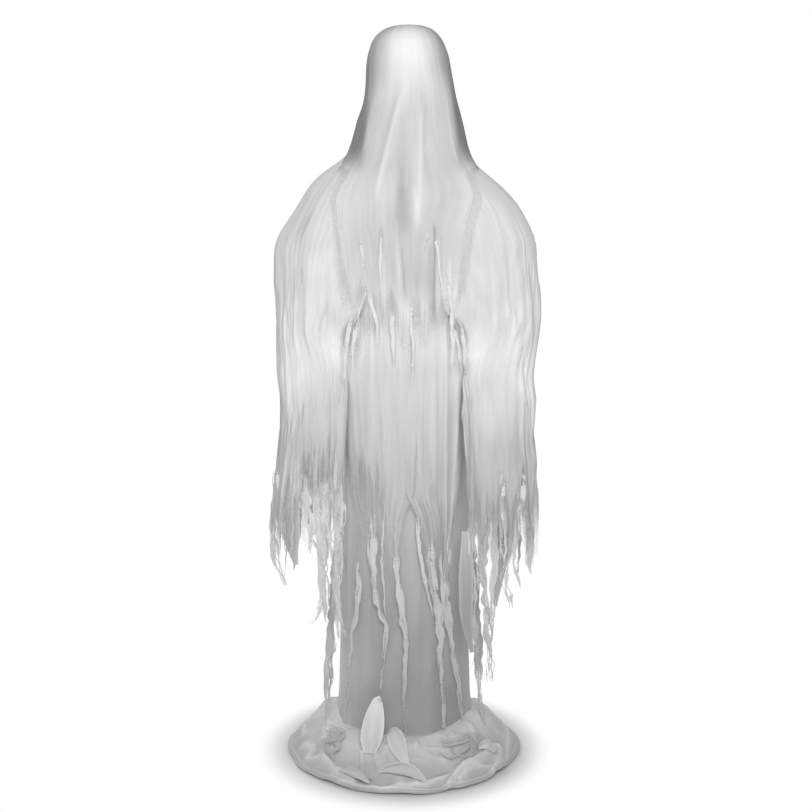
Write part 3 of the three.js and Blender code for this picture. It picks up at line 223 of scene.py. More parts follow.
studio_world(ambient=0.22)
soft_light("front_key", place=(0.1, -3.4, 2.5), aim=(0, 0, 1.15), width=1.5, height=1.6, power=84)
soft_light("rear_fill", place=(-1.8, 3.0, 2.4), aim=(0, 0, 1.1), width=2.0, height=2.0, power=34)

# %% [markdown]
# ## Woven surfaces
# Two cloths are used. The outer one is cotton gauze: an open weave whose yarns slide apart, so that it
# is dense where it is new and only a few loose threads at a torn edge. The inner one is polyester satin,
# closed, smooth and a little shiny. On both, the pattern has to follow the cloth, so each sheet carries
# a UV map in metres, measured across and along the piece, a number for how closed the weave is, its
# cover, and one for how much the cloth is greyed, which is mostly painted light and shade.

# %% Cloth patterns
def cloth_noise(tree, cells, detail, roughness=0.5, distortion=0.0):
    """Noise that follows the flat cloth, with so many cells a metre across it and along it."""
    flat = put(tree, "UVMap", uv_map="flat_cloth")
    scaled = put(tree, "Mapping", {"Vector": flat, "Scale": (*cells, 1)})
    return put(tree, "TexNoise", {"Vector": scaled, "Scale": 1.0, "Detail": detail,
                                  "Roughness": roughness, "Distortion": distortion},
               noise_dimensions="2D")


def weighted_sum(tree, *patterns):
    """The sum of patterns, each given with its weight."""
    total = 0.0
    for pattern, weight in patterns:
        total = put(tree, "Math", {0: pattern, 1: weight, 2: total}, operation="MULTIPLY_ADD")
    return total


def height_tone(tree, low, high, pattern, share, easing="LINEAR"):
    """A tone that rises from 0 at a low height to 1 at a high one. A pattern varies it, and the grey
    attribute, mostly painted light and shade, lowers it, or raises it where it is below 0."""
    place = put(tree, "TexCoord").outputs["Object"]
    height = put(tree, "SeparateXYZ", {0: place}).outputs["Z"]
    tone = put(tree, "MapRange", {"Value": height, "From Min": low, "From Max": high},
               interpolation_type=easing)
    tone = put(tree, "Math", {0: pattern, 1: share, 2: tone}, operation="MULTIPLY_ADD")
    grey = put(tree, "Attribute", attribute_name="grey").outputs["Fac"]
    tone = put(tree, "Math", {0: tone, 1: grey}, operation="SUBTRACT")
    # The pattern is 0.5 on average, so half its share is taken off again
    return put(tree, "Math", {0: tone, 1: share / 2}, operation="SUBTRACT", use_clamp=True)


# Cells a metre, across the cloth and along it. Real gauze has a thread each 1.2 mm, and its lengthwise
# threads are bundled to about 4 mm here, or they wouldn't show
thread_cells = (240, 9)
weft_cells = (26, 190)
patch_cells = (30, 7)
# The floats of a satin weave run about 0.3 mm apart, drawn here at 2.5 mm. Its creases are 30 mm wide
float_cells = (400, 60)
crease_cells = (34, 6)
print("a bundle of threads is", round(1000 / thread_cells[0], 1), "mm wide")

# %% Cotton gauze
def cotton_gauze(name, light, shade, darker_below, lighter_above, contrast=7.0):
    """Open, bleached cotton weave. The cover attribute thins it into single threads."""
    material, tree = new_material(name)
    threads = cloth_noise(tree, thread_cells, detail=2.5, roughness=0.6)
    weft = cloth_noise(tree, weft_cells, detail=1.5)
    patches = cloth_noise(tree, patch_cells, detail=3.0, roughness=0.55)
    woven = weighted_sum(tree, (threads, 0.5), (weft, 0.14), (patches, 0.36))
    # Alpha = contrast * (pattern - 0.5) + 2 * cover - 0.5, so cover is about the share that is closed
    cover = put(tree, "Attribute", attribute_name="cover").outputs["Fac"]
    lift = put(tree, "Math", {0: cover, 1: 2.0, 2: -0.5}, operation="MULTIPLY_ADD")
    offset = put(tree, "Math", {0: woven, 1: 0.5}, operation="SUBTRACT")
    closed = put(tree, "Math", {0: offset, 1: contrast, 2: lift}, operation="MULTIPLY_ADD", use_clamp=True)
    # The colour greys slowly towards the hem, between the two given heights
    tone = height_tone(tree, darker_below, lighter_above, patches, 0.3, easing="SMOOTHSTEP")
    colour = put(tree, "ValToRGB", {"Fac": tone}, stops=((0, shade), (1, light)))
    bump = put(tree, "Bump", {"Height": woven, "Strength": 0.35, "Distance": 0.004})
    # Matt cotton: hardly any gloss, and a faint sheen from its loose fibres
    shader = put(tree, "BsdfPrincipled", {"Base Color": colour, "Alpha": closed, "Normal": bump,
                                          "Roughness": 0.92, "Specular IOR Level": 0.2,
                                          "Sheen Weight": 0.12, "Sheen Roughness": 0.6})
    put(tree, "OutputMaterial", {"Surface": shader})
    return material


gauze = cotton_gauze("bleached_cotton_gauze", "f8f8f8", "a2a2a2", 0.62, 1.08, contrast=2.6)
bodice_gauze = cotton_gauze("layered_cotton_gauze", "f6f6f6", "b0b0b0", 0.75, 1.25, contrast=2.4)
# The hood's gauze is pure white for a painted highlight on its crown; its grey attribute paints shade over
# the rest
hood_gauze = cotton_gauze("close_woven_cotton_gauze", "ffffff", "8e8e8e", 0.5, 0.9, contrast=1.4)
panel_gauze = cotton_gauze("washed_cotton_gauze", "f4f4f4", "b0b0b0", 0.25, 1.0, contrast=1.8)
frayed_gauze = cotton_gauze("frayed_cotton_gauze", "ededed", "c2c2c2", 0.1, 0.9)
print("last of five gauzes:", frayed_gauze.name)

# %% Polyester satin
def polyester_satin(name, light, shade, dark_below, light_above, crease):
    """Closed, soft cloth with a low gloss and fine creases along its length."""
    material, tree = new_material(name)
    creases = cloth_noise(tree, crease_cells, detail=4.0, distortion=0.6)
    floats = cloth_noise(tree, float_cells, detail=1.0)
    tone = height_tone(tree, dark_below, light_above, creases, 0.22)
    colour = put(tree, "ValToRGB", {"Fac": tone}, stops=((0, shade), (1, light)))
    gloss = put(tree, "MapRange", {"Value": creases, "To Min": 0.42, "To Max": 0.62})
    relief = put(tree, "Math", {0: floats, 1: 0.08, 2: creases}, operation="MULTIPLY_ADD")
    bump = put(tree, "Bump", {"Height": relief, "Strength": crease, "Distance": 0.006})
    # Smooth filaments: a low, broken gloss, and a sheen where the cloth turns away
    shader = put(tree, "BsdfPrincipled", {"Base Color": colour, "Roughness": gloss, "Normal": bump,
                                          "Sheen Weight": 0.2, "Sheen Roughness": 0.35})
    put(tree, "OutputMaterial", {"Surface": shader})
    return material


gown_satin = polyester_satin("grey_polyester_satin", "f6f6f6", "a0a0a0", 0.15, 1.05, 0.25)
floor_satin = polyester_satin("crumpled_polyester_satin", "e6e6e6", "b4b4b4", -0.02, 0.1, 0.4)
print("satins:", gown_satin.name, "and", floor_satin.name)

# %% [markdown]
# ## Folds
# A fold in hanging cloth is a ridge that starts where the cloth is gathered, runs down and slowly
# drifts, widens or dies out. Waves of one width look like a curtain, so each fold here has its own
# place, width, height and reach. Broad, soft noise then bends the whole sheet a little.

# %% Fold helpers
def smoothstep(low, high, value):
    """0 below low, 1 above high and a soft step between. With low above high, it falls instead."""
    t = np.clip((np.asarray(value, float) - low) / (high - low), 0, 1)
    return t * t * (3 - 2 * t)


def bell(distance, half_width):
    """1 on a line, about a third at a half width from it, and close to 0 at two."""
    return np.exp(-(distance / half_width) ** 2)


def smooth_table(height, heights, values, reach=0.03):
    """A table read at a height, with its corners rounded off over a reach."""
    offsets = np.linspace(-1, 1, 9)
    weights = 1 - 0.9 * offsets ** 2
    total = sum(w * np.interp(height + reach * o, heights, values) for o, w in zip(offsets, weights))
    return total / weights.sum()


def across_and_down(rows, columns, loop=False):
    """u across and v down for each point of a sheet, from 0 to 1. A loop comes round to 0 again."""
    u = np.arange(columns) / columns if loop else np.linspace(0, 1, columns)
    return np.meshgrid(u, np.linspace(0, 1, rows))


def soft_noise(u, v, cells_u, cells_v, seed, round_trip=False):
    """Smooth noise between -1 and 1 over u and v from 0 to 1; it closes on itself in u if asked."""
    rng = np.random.default_rng(seed)
    grid = rng.uniform(-1, 1, (cells_v + 2, cells_u + 2))
    if round_trip:
        grid[:, cells_u] = grid[:, 0]
        grid[:, cells_u + 1] = grid[:, 1]
    x = np.clip(u, 0, 1) * cells_u
    y = np.clip(v, 0, 1) * cells_v
    i, j = np.minimum(x.astype(int), cells_u), np.minimum(y.astype(int), cells_v)
    fx, fy = x - i, y - j
    fx, fy = fx * fx * (3 - 2 * fx), fy * fy * (3 - 2 * fy)
    low = grid[j, i] * (1 - fx) + grid[j, i + 1] * fx
    high = grid[j + 1, i] * (1 - fx) + grid[j + 1, i + 1] * fx
    return low * (1 - fy) + high * fy


def fold_field(u, v, count, seed, width=0.3, drift=0.8, round_trip=False):
    """Ridges between 0 and about 1. Each has its own place, width and reach along v."""
    rng = np.random.default_rng(seed)
    total = np.zeros(np.broadcast(u, v).shape)
    for i in range(count):
        middle = (i + rng.uniform(0.1, 0.9)) / count
        line = middle + rng.uniform(-drift, drift) * v / count
        line = line + 0.25 / count * np.sin(rng.uniform(2, 6) * v + rng.uniform(0, 6))
        apart = u - line
        if round_trip:
            apart = (apart + 0.5) % 1 - 0.5
        spread = width * rng.uniform(0.5, 1.3) / count * (0.8 + 0.5 * v)
        begin, end = rng.uniform(-0.35, 0.3), rng.uniform(0.75, 1.5)
        reach = smoothstep(begin, begin + 0.3, v) * (1 - smoothstep(end, end + 0.35, v))
        total += rng.uniform(0.35, 1.0) * reach / (1 + (apart / spread) ** 2) ** 1.5
    return total


def torn_edge(u, seed, tongues, shortest=0.0, round_trip=False):
    """How far a torn hem reaches at each u: 1 at the tip of a tongue, less in a tear."""
    zero = np.zeros_like(u)
    broad = soft_noise(u, zero, tongues, 1, seed, round_trip)
    middle = soft_noise(u, zero, tongues * 3, 1, seed + 1, round_trip)
    fine = soft_noise(u, zero, tongues * 11, 1, seed + 2, round_trip)
    reach = 0.5 + 0.32 * broad + 0.2 * middle + 0.1 * fine
    return shortest + (1 - shortest) * np.clip(reach, 0, 1)


print("a fold field's highest ridge:", np.round(fold_field(np.linspace(0, 1, 50), 0.5, 8, 1).max(), 2))

# %% [markdown]
# ## Sheets and strips
# A sheet is a grid of points, because every hanging sheet here can be described by how far across and
# how far along the cloth a point lies. A strip is a narrow band that follows a falling line: torn gauze
# rolls and crumples across its width, so the band gets six points across, pushed in and out.

# %% Sheet builder
def mesh_object(name, points, faces, uv, cover, material, grey=None):
    """A mesh in place, with its flat-cloth map, its cover and how much it is greyed."""
    mesh = bpy.data.meshes.new(name)
    mesh.from_pydata([tuple(p) for p in points], [], [tuple(f) for f in faces])
    layer = mesh.uv_layers.new(name="flat_cloth")
    layer.data.foreach_set("uv", np.asarray(uv, np.float32).ravel())
    ungreyed = np.zeros(len(points))
    for title, numbers in (("cover", cover), ("grey", ungreyed if grey is None else grey)):
        attribute = mesh.attributes.new(title, "FLOAT", "POINT")
        attribute.data.foreach_set("value", np.asarray(numbers, np.float32))
    mesh.polygons.foreach_set("use_smooth", [True] * len(mesh.polygons))
    mesh.materials.append(material)
    mesh.update()
    piece = bpy.data.objects.new(name, mesh)
    bpy.context.scene.collection.objects.link(piece)
    return piece


def sheet_piece(name, grid, cover, material, loop=False, flip=False, grey=None):
    """A sheet from a grid of points, rows from the top down. A loop joins its last column to its first."""
    rows, columns = grid.shape[:2]
    steps = np.linalg.norm(np.diff(grid, axis=0), axis=2).mean(axis=1)
    down = np.concatenate([[0], np.cumsum(steps)])
    across = np.linalg.norm(np.diff(grid, axis=1), axis=2).mean()
    faces, uv = [], []
    for r in range(rows - 1):
        for c in range(columns if loop else columns - 1):
            n = (c + 1) % columns
            corners = [(r, c, c), (r + 1, c, c), (r + 1, n, c + 1), (r, n, c + 1)]
            if flip:
                corners.reverse()
            faces.append([row * columns + column for row, column, _ in corners])
            uv += [(place * across, -down[row]) for row, _, place in corners]
    tint = None if grey is None else np.broadcast_to(grey, (rows, columns)).reshape(-1)
    shut = np.broadcast_to(cover, (rows, columns)).reshape(-1)
    return mesh_object(name, grid.reshape(-1, 3), faces, uv, shut, material, tint)


print("sheets carry a flat_cloth map, a cover and a grey")

# %% Strip builder
def band_frame(path, facing):
    """Unit vectors to the side of a band and out of it, at each point of its path."""
    along = np.gradient(path, axis=0)
    along /= np.linalg.norm(along, axis=1)[:, None]
    side = np.cross(along, facing)
    side /= np.linalg.norm(side, axis=1)[:, None]
    return side, np.cross(side, along)


def band_points(path, side, out, aside, lift):
    """The points of a band, with how far each lies beside the path and how far out of it."""
    return path[:, None, :] + side[:, None, :] * aside[:, :, None] + out[:, None, :] * lift[:, :, None]


def strip_mesh(path, width, facing, roll, crumple, cover, rng, across=6):
    """Points, faces, uv and cover of one torn strip along a path of points."""
    count = len(path)
    side, out = band_frame(path, facing)
    turn_cos, turn_sin = np.cos(roll)[:, None], np.sin(roll)[:, None]
    side, out = side * turn_cos + out * turn_sin, out * turn_cos - side * turn_sin
    share = np.linspace(-0.5, 0.5, across)
    s = np.linspace(0, 1, count)
    waves = np.zeros((count, across))
    for _ in range(3):
        height = rng.uniform(0.4, 1)
        turns = rng.uniform(0.4, 1.4) * share[None, :] + rng.uniform(1, 7) * s[:, None]
        waves += height * np.sin(2 * math.pi * turns + rng.uniform(0, 6))
    lift = (waves / 2) * (crumple * width)[:, None]
    points = band_points(path, side, out, share[None, :] * width[:, None], lift)
    faces, uv = [], []
    lengths = np.concatenate([[0], np.cumsum(np.linalg.norm(np.diff(path, axis=0), axis=1))])
    shift = rng.uniform(0, 3)
    for r in range(count - 1):
        for c in range(across - 1):
            corners = ((r, c), (r + 1, c), (r + 1, c + 1), (r, c + 1))
            faces.append([row * across + column for row, column in corners])
            uv += [(shift + share[column] * width[row], -lengths[row]) for row, column in corners]
    # The weave opens a little along both edges of a strip
    shades = np.repeat(cover[:, None], across, axis=1)
    shades[:, [0, -1]] -= 0.12
    return points.reshape(-1, 3), faces, uv, shades.reshape(-1)


def gather(name, strips, material):
    """Many strips as one piece."""
    points, faces, uv, cover = [], [], [], []
    count = 0
    for strip_points, strip_faces, strip_uv, strip_cover in strips:
        points.append(strip_points)
        faces += [[i + count for i in face] for face in strip_faces]
        uv += strip_uv
        cover.append(strip_cover)
        count += len(strip_points)
    return mesh_object(name, np.concatenate(points), faces, uv, np.concatenate(cover), material)


print("a strip has 6 points across")

# %% [markdown]
# ## The satin gown
# Under everything hangs one long satin tube. On the figure it turns with the torso at its top and stands
# still with the base below the waist, so it twists in between; this sheet is bound to neither and doesn't
# twist. It is modelled as one sheet with shallow folds, because the satin hangs almost smooth and only
# the light along it shows them.

# %% Gown
gown_top = 1.352
gown_hem = 0.079
gown_heights = [.07, .095, .15, .3, .95, 1.2, 1.3, 1.36]
gown_half_width = [.186, .174, .168, .163, .167, .166, .158, .125]
gown_half_depth = [.168, .156, .150, .147, .149, .146, .118, .07]


def gown_grid(rows=170, columns=220):
    """The gown's points, and how grey each is."""
    u, v = across_and_down(rows, columns, loop=True)
    angle = 2 * math.pi * u
    z = gown_top + (gown_hem - gown_top) * v
    fold = fold_field(u, v, 17, 3, width=0.34, drift=1.0, round_trip=True)
    wave = soft_noise(u, v, 9, 5, 4, True)
    push = 0.0065 * fold + 0.0025 * wave - 0.003
    x = (np.interp(z, gown_heights, gown_half_width) + push) * np.cos(angle)
    y = (np.interp(z, gown_heights, gown_half_depth) + push) * np.sin(angle)
    # Painted light: the sides, which turn away from the light and lie in the sleeves' shade, are painted
    # lighter; the middle is greyer
    grey = 0.08 - 0.34 * np.abs(np.cos(angle)) ** 6 \
        + 0.08 * smoothstep(0.25, 0.4, z) * smoothstep(0.9, 0.75, z)
    # Painted light: the side at negative x is painted lighter again above the floor
    grey = grey - 0.26 * smoothstep(0.30, 0.80, -np.cos(angle)) * smoothstep(0.45, 0.20, z)
    return np.stack([x, y, z], axis=2), grey


gown_points, gown_grey = gown_grid()
gown = sheet_piece("satin_gown", gown_points, 1.0, gown_satin, loop=True, grey=gown_grey)
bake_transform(gown)
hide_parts("gown_skirt", "gown_body")
print("gown faces:", len(gown.data.polygons))

# %% [markdown]
# ## The cloth on the floor
# The gown is longer than the figure, so its end lies on the base and spills over the edge onto the
# floor. The cloth is stiff enough to stand up in loops: it heaps beside the base and lies nearly flat
# at its rim. The heap is a section that is swept round, lower at the front, with creases across it.

# %% Floor cloth outline
base_high_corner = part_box("base_housing")[1]
base_half_width = round(base_high_corner[0], 4)
base_half_depth = round(base_high_corner[1], 4)
base_corner = 0.042


def base_reach(angle):
    """The distance from the middle to the base's rounded outline in each direction."""
    x, y = np.abs(np.cos(angle)), np.abs(np.sin(angle))
    reach = np.minimum(base_half_width / np.maximum(x, 1e-9), base_half_depth / np.maximum(y, 1e-9))
    corner_x, corner_y = base_half_width - base_corner, base_half_depth - base_corner
    along = x * corner_x + y * corner_y
    inside = along ** 2 - (corner_x ** 2 + corner_y ** 2) + base_corner ** 2
    rounded = along + np.sqrt(np.maximum(inside, 0))
    in_corner = (reach * x > corner_x) & (reach * y > corner_y)
    return np.where(in_corner, rounded, reach)


def sharp_ridges(u, v, cells_u, cells_v, seed):
    """Crumpled cloth: narrow ridges between flat facets, from 0 to 1, closed on itself in u."""
    return (1 - np.abs(soft_noise(u, v, cells_u, cells_v, seed, True))) ** 3


print("base outline:", 2 * base_half_width, "by", 2 * base_half_depth, "m")

# %% Long folds on the floor
# Folds that stand up from the cloth, each with its places on the floor, its height and half width
floor_ridges = [
    ([(-.160, -.240), (-.058, -.282), (.014, -.281), (.052, -.276)], .006, .0045),
    ([(.052, -.276), (.075, -.262), (.111, -.243), (.150, -.222), (.187, -.200), (.235, -.170)],
     .007, .0045),
    ([(.226, .160), (.252, .077), (.268, .000), (.270, -.060), (.258, -.120)], .008, .005),
    ([(-.262, -.040), (-.268, .047), (-.248, .108), (-.214, .163)], .008, .005),
    ([(-.190, -.010), (-.205, -.100), (-.198, -.170), (-.172, -.215), (-.128, -.240)], .016, .010),
    ([(.108, -.262), (.140, -.228), (.170, -.198), (.205, -.152), (.232, -.112), (.246, -.104),
      (.242, -.140), (.222, -.190)], .016, .007),
    ([(.135, -.248), (.172, -.208), (.200, -.170)], .010, .006),
    ([(-.262, -.080), (-.236, -.104), (-.246, -.140), (-.214, -.158)], .009, .009),
    ([(-.040, -.190), (-.010, -.225), (.030, -.258)], .008, .006),
    ([(-.280, .020), (-.230, .010), (-.190, -.020)], .010, .012),
    ([(.180, .040), (.230, .020), (.276, .030)], .010, .012),
]


def ridge_rise(x, y):
    """How far the long folds lift the cloth at a place, and how near their crest it is."""
    rise, crest = np.zeros_like(x), np.zeros_like(x)
    for line, height, half_width in floor_ridges:
        nearest = np.full_like(x, 1.0)
        for (ax, ay), (bx, by) in zip(line, line[1:]):
            length = (bx - ax) ** 2 + (by - ay) ** 2
            along = np.clip(((x - ax) * (bx - ax) + (y - ay) * (by - ay)) / length, 0, 1)
            away = np.hypot(x - ax - along * (bx - ax), y - ay - along * (by - ay))
            nearest = np.minimum(nearest, away)
        rise = np.maximum(rise, height / (1 + (nearest / (1.6 * half_width)) ** 2) ** 1.5)
        crest = np.maximum(crest, bell(nearest, half_width))
    return rise, crest


print("long folds on the floor:", len(floor_ridges))

# %% Floor cloth
# The heap's section, from the gown out to the rim: its height where it is low and where it is high
heap_share = [0, .16, .26, .36, .48, .62, .78, .9, 1.0]
heap_low = [.090, .083, .079, .070, .048, .026, .012, .006, .0025]
heap_high = [.100, .104, .106, .100, .084, .060, .033, .014, .0030]
inner_radius = 0.128
rim_radius = 0.298
height_on_base = 0.0765
height_on_floor = 0.0022
stitch_rows = (0.935, 0.965)


def floor_cloth_grid(rows=190, columns=520):
    """The floor cloth's points, and how grey each is."""
    u, v = across_and_down(rows, columns, loop=True)
    angle = 2 * math.pi * u
    rim = rim_radius + 0.006 * soft_noise(u, 0 * u, 9, 1, 40, True) \
        + 0.003 * soft_noise(u, 0 * u, 31, 1, 41, True)
    # The heap is high at the sides and the back, and low along the front
    front = np.clip(-np.sin(angle), 0, 1) ** 2
    heap = (1 - 0.72 * front) * (1 + 0.35 * soft_noise(u, 0 * u, 7, 1, 42, True))
    radius = inner_radius + (rim - inner_radius) * v
    z = smooth_table(v, heap_share, heap_low, 0.05) * (1 - heap) \
        + smooth_table(v, heap_share, heap_high, 0.05) * heap
    # Radial creases, long at the box's edge, and shallow pleats across them
    crease = fold_field(u, v, 30, 43, width=0.40, drift=1.6, round_trip=True)
    broad = fold_field(u, v, 13, 44, width=0.5, drift=1.2, round_trip=True)
    middle = smoothstep(0.14, 0.45, v) * (1 - 0.75 * smoothstep(0.8, 1.0, v))
    z = z + middle * (0.007 * crease + 0.014 * broad - 0.009)
    crumple = 0.7 * sharp_ridges(u, v, 19, 3, 45) + 0.3 * sharp_ridges(u, v, 41, 6, 47)
    z = z + 0.010 * middle * (crumple - 0.35)
    radius = radius + middle * 0.006 * soft_noise(u, v, 23, 4, 46, True)
    x, y = radius * np.cos(angle), radius * np.sin(angle)
    rise, crest = ridge_rise(x, y)
    outside = smoothstep(0.20, 0.40, v)
    z = z + outside * rise
    # Two rows of stitching run along the hem and draw the cloth into low beads
    for row in stitch_rows:
        z = z + 0.0016 * bell(v - row, 0.007)
    edge = base_reach(angle)
    on_base = 1 - smoothstep(edge - 0.004, edge + 0.012, radius)
    z = np.maximum(np.maximum(z, on_base * height_on_base), height_on_floor)
    # Painted highlights on fold crests and the stitched hem, painted shade in crumpled hollows, and random
    # tone
    grey = 0.18 - 0.5 * outside * crest - 0.3 * bell(v - 0.95, 0.012) - 0.10 * middle * (crumple - 0.35) \
        + 0.10 * soft_noise(u, v, 9, 3, 48, True)
    return np.stack([x, y, z], axis=2), grey


floor_grid, floor_grey = floor_cloth_grid()
floor_cloth = sheet_piece("satin_floor_cloth", floor_grid, 1.0, floor_satin,
                          loop=True, flip=True, grey=floor_grey)
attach(floor_cloth, "base")
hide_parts("hem_puddle")
print("floor cloth faces:", len(floor_cloth.data.polygons))

# %% [markdown]
# ## The bodice
# A ring of gauze lies over the shoulders and hangs to the waist under everything else. The sleeves and
# the hood cover most of it, and only its middle shows, front and back, as a torn and streaky panel.

# %% Bodice
bodice_top = 1.512
bodice_hem = 1.20
bodice_tear = 0.22
bodice_heights = [1.0, 1.2, 1.3, 1.40, 1.45, 1.48, 1.512]
bodice_half_width = [.188, .188, .186, .176, .150, .118, .082]
bodice_half_depth = [.168, .167, .162, .144, .126, .106, .080]


def ellipse_ring(angle, half_width, half_depth, power=2.0):
    """Points of a superellipse at an angle parameter, as x and y."""
    c, s = np.cos(angle), np.sin(angle)
    return (half_width * np.sign(c) * np.abs(c) ** (2 / power),
            half_depth * np.sign(s) * np.abs(s) ** (2 / power))


def bodice_grid(rows=120, columns=300):
    """The bodice's points, how closed its weave is and how grey it is."""
    u, v = across_and_down(rows, columns, loop=True)
    hem = bodice_hem - bodice_tear * torn_edge(u, 60, 11, 0.1, True)
    z = bodice_top + (hem - bodice_top) * v
    fold = fold_field(u, v, 34, 61, width=0.32, drift=1.2, round_trip=True)
    push = 0.004 * fold + 0.002 * soft_noise(u, v, 16, 7, 62, True)
    half_width = np.interp(z, bodice_heights, bodice_half_width)
    half_depth = np.interp(z, bodice_heights, bodice_half_depth)
    x, y = ellipse_ring(2 * math.pi * u, half_width + push, half_depth + push)
    cover = 1.25 - 1.1 * smoothstep(0.55, 1.0, v)
    # Painted light below 1.2 m, where the bib's hem shades the bodice; greyer above, with random tone
    grey = -0.25 + 0.43 * smoothstep(1.18, 1.34, z) + 0.04 * soft_noise(u, v, 40, 6, 63, True)
    return np.stack([x, y, z], axis=2), cover, grey


bodice_points, bodice_cover, bodice_grey = bodice_grid()
bodice = sheet_piece("gauze_bodice", bodice_points, bodice_cover, bodice_gauze,
                     loop=True, grey=bodice_grey)
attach(bodice, "torso")
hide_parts("shoulder_cape")
print("bodice faces:", len(bodice.data.polygons))

# %% [markdown]
# ## The sleeves
# Each sleeve is one wide sheet. At the top it lies over the shoulder from the chest to the back, and
# lower down it closes round the forearm, open only towards the body. So one section turns into the
# other on the way down. The outline of a shoulder under cloth is what makes the figure, so its half
# width is set out as a table down the height, one for each side.

# %% Sleeve sections
# Half widths of the shoulders and the sleeves' outer edge, measured on the photograph
outline_height = [.5, .597, .6885, .78, .871, .932, .993, 1.054, 1.115, 1.176, 1.237, 1.298, 1.329,
                  1.359, 1.39, 1.42, 1.451, 1.481, 1.512, 1.542, 1.573]
outline_left = [.325, .325, .318, .306, .300, .302, .312, .316, .322, .323, .320, .3185, .307,
                .287, .267, .249, .231, .198, .148, .122, .110]
outline_right = [.318, .318, .318, .316, .308, .314, .312, .326, .339, .343, .337, .332, .3252,
                 .306, .288, .265, .235, .196, .165, .142, .132]
shoulder_height = [1.05, 1.17, 1.30, 1.36, 1.43, 1.468, 1.49, 1.512, 1.53]
shoulder_depth = [.174, .171, .166, .162, .152, .140, .125, .100, .078]
shoulder_power = 2.4
# Where a sleeve's front and back edges lie beside the middle
front_height = [1.0, 1.07, 1.15, 1.25, 1.35, 1.45, 1.53]
front_edge = [.150, .132, .100, .068, .050, .040, .035]
back_height = [1.0, 1.15, 1.25, 1.35, 1.45, 1.53]
back_edge = [.205, .190, .130, .080, .050, .035]
# The tube round the forearm: its inner side, its half depth and its middle, back from y 0
sleeve_height = [.30, .64, .79, .93, 1.0, 1.052, 1.115]
sleeve_inner = [.142, .140, .138, .136, .134, .134, .140]
sleeve_deep = [.066, .074, .077, .084, .088, .094, .102]
sleeve_middle = [-.190, -.156, -.146, -.106, -.066, -.038, -.020]
sleeve_power = 2.3


def shoulder_angles(u, z, outline):
    """The angle parameter across the shoulder's section, from the front edge to the back edge."""
    front_x = np.minimum(0.62 * outline, smooth_table(z, front_height, front_edge))
    back_x = np.interp(z, back_height, back_edge)
    front_angle = -np.arccos(np.clip(front_x / outline, 0, 1) ** (shoulder_power / 2))
    back_angle = np.arccos(np.clip(back_x / outline, 0, 1) ** (shoulder_power / 2))
    return front_angle + (back_angle - front_angle) * u


def forearm_section(u, z, outline, push):
    """x and y of the tube round the forearm, which is open for 50 degrees towards the body."""
    inner = np.interp(z, sleeve_height, sleeve_inner)
    deep = np.interp(z, sleeve_height, sleeve_deep)
    angle = np.radians(-160) + np.radians(160 + 150) * u
    x, y = ellipse_ring(angle, (outline - inner) / 2 + push, deep + push, sleeve_power)
    return x + (outline + inner) / 2, y + np.interp(z, sleeve_height, sleeve_middle)


print("shoulders:", round(max(outline_left) + max(outline_right), 3), "m across over the sleeves")

# %% Sleeve folds and weave
def sleeve_folds(u, v, seed):
    """How far folds push a sleeve out. They grow downwards."""
    fold = fold_field(u, v, 11, seed + 1, width=0.5, drift=1.6)
    fine = fold_field(u, v, 29, seed + 2, width=0.32, drift=2.2)
    wave = soft_noise(u, v, 6, 9, seed + 3)
    lumps = soft_noise(u, v, 13, 21, seed + 4)
    grow = 0.35 + 0.65 * smoothstep(0.05, 0.5, v)
    return grow * (0.008 * fold + 0.0022 * fine + 0.005 * wave + 0.003 * lumps) - 0.006 * grow


def sleeve_cover(u, z, hem):
    """How closed a sleeve's weave is: thin at the front edge, at the back edge and near the hem."""
    thin_front = 0.25 + 0.45 * bell(z - 1.09, 0.05)
    thin_edge = 1 - thin_front * (1 - smoothstep(0.0, 0.12, u)) - 0.6 * smoothstep(0.90, 1.0, u)
    return (1.30 - 0.34 * smoothstep(1.02, 0.84, z) - 0.62 * smoothstep(0.24, 0.0, z - hem)) * thin_edge


def sleeve_grey(u, v, z, side, seed):
    """How grey a sleeve is: random patches, greyer by the chest, painted light where it lies in shade."""
    patches = soft_noise(u, v, 7, 8, seed + 5) + 0.5 * soft_noise(u, v, 15, 19, seed + 6)
    near_chest = (1 - smoothstep(0.22, 0.44, u)) * smoothstep(0.85, 1.0, z)
    # Painted light at the armhole, over the elbow and near the hem, where the sleeve lies in shade
    armhole = (1 - smoothstep(0.05, 0.20, u)) * bell(z - 1.05, 0.045)
    forearm = bell(z - 1.06, 0.14) * bell(u - 0.42, 0.17)
    painted_elbow_light, painted_hem_light = (0.22, 0.62) if side < 0 else (0.46, 0.28)
    return 0.03 + 0.18 * near_chest - 0.30 * armhole + 0.10 * patches - painted_elbow_light * forearm \
        - painted_hem_light * smoothstep(0.86, 0.70, z)


print("a sleeve's weave at its hem:", np.round(sleeve_cover(np.array(0.5), np.array(0.6), 0.6), 2))

# %% Sleeves
sleeve_top = 1.532
sleeve_hem = 0.61
sleeve_tear = 0.26
edge_tear = 0.10


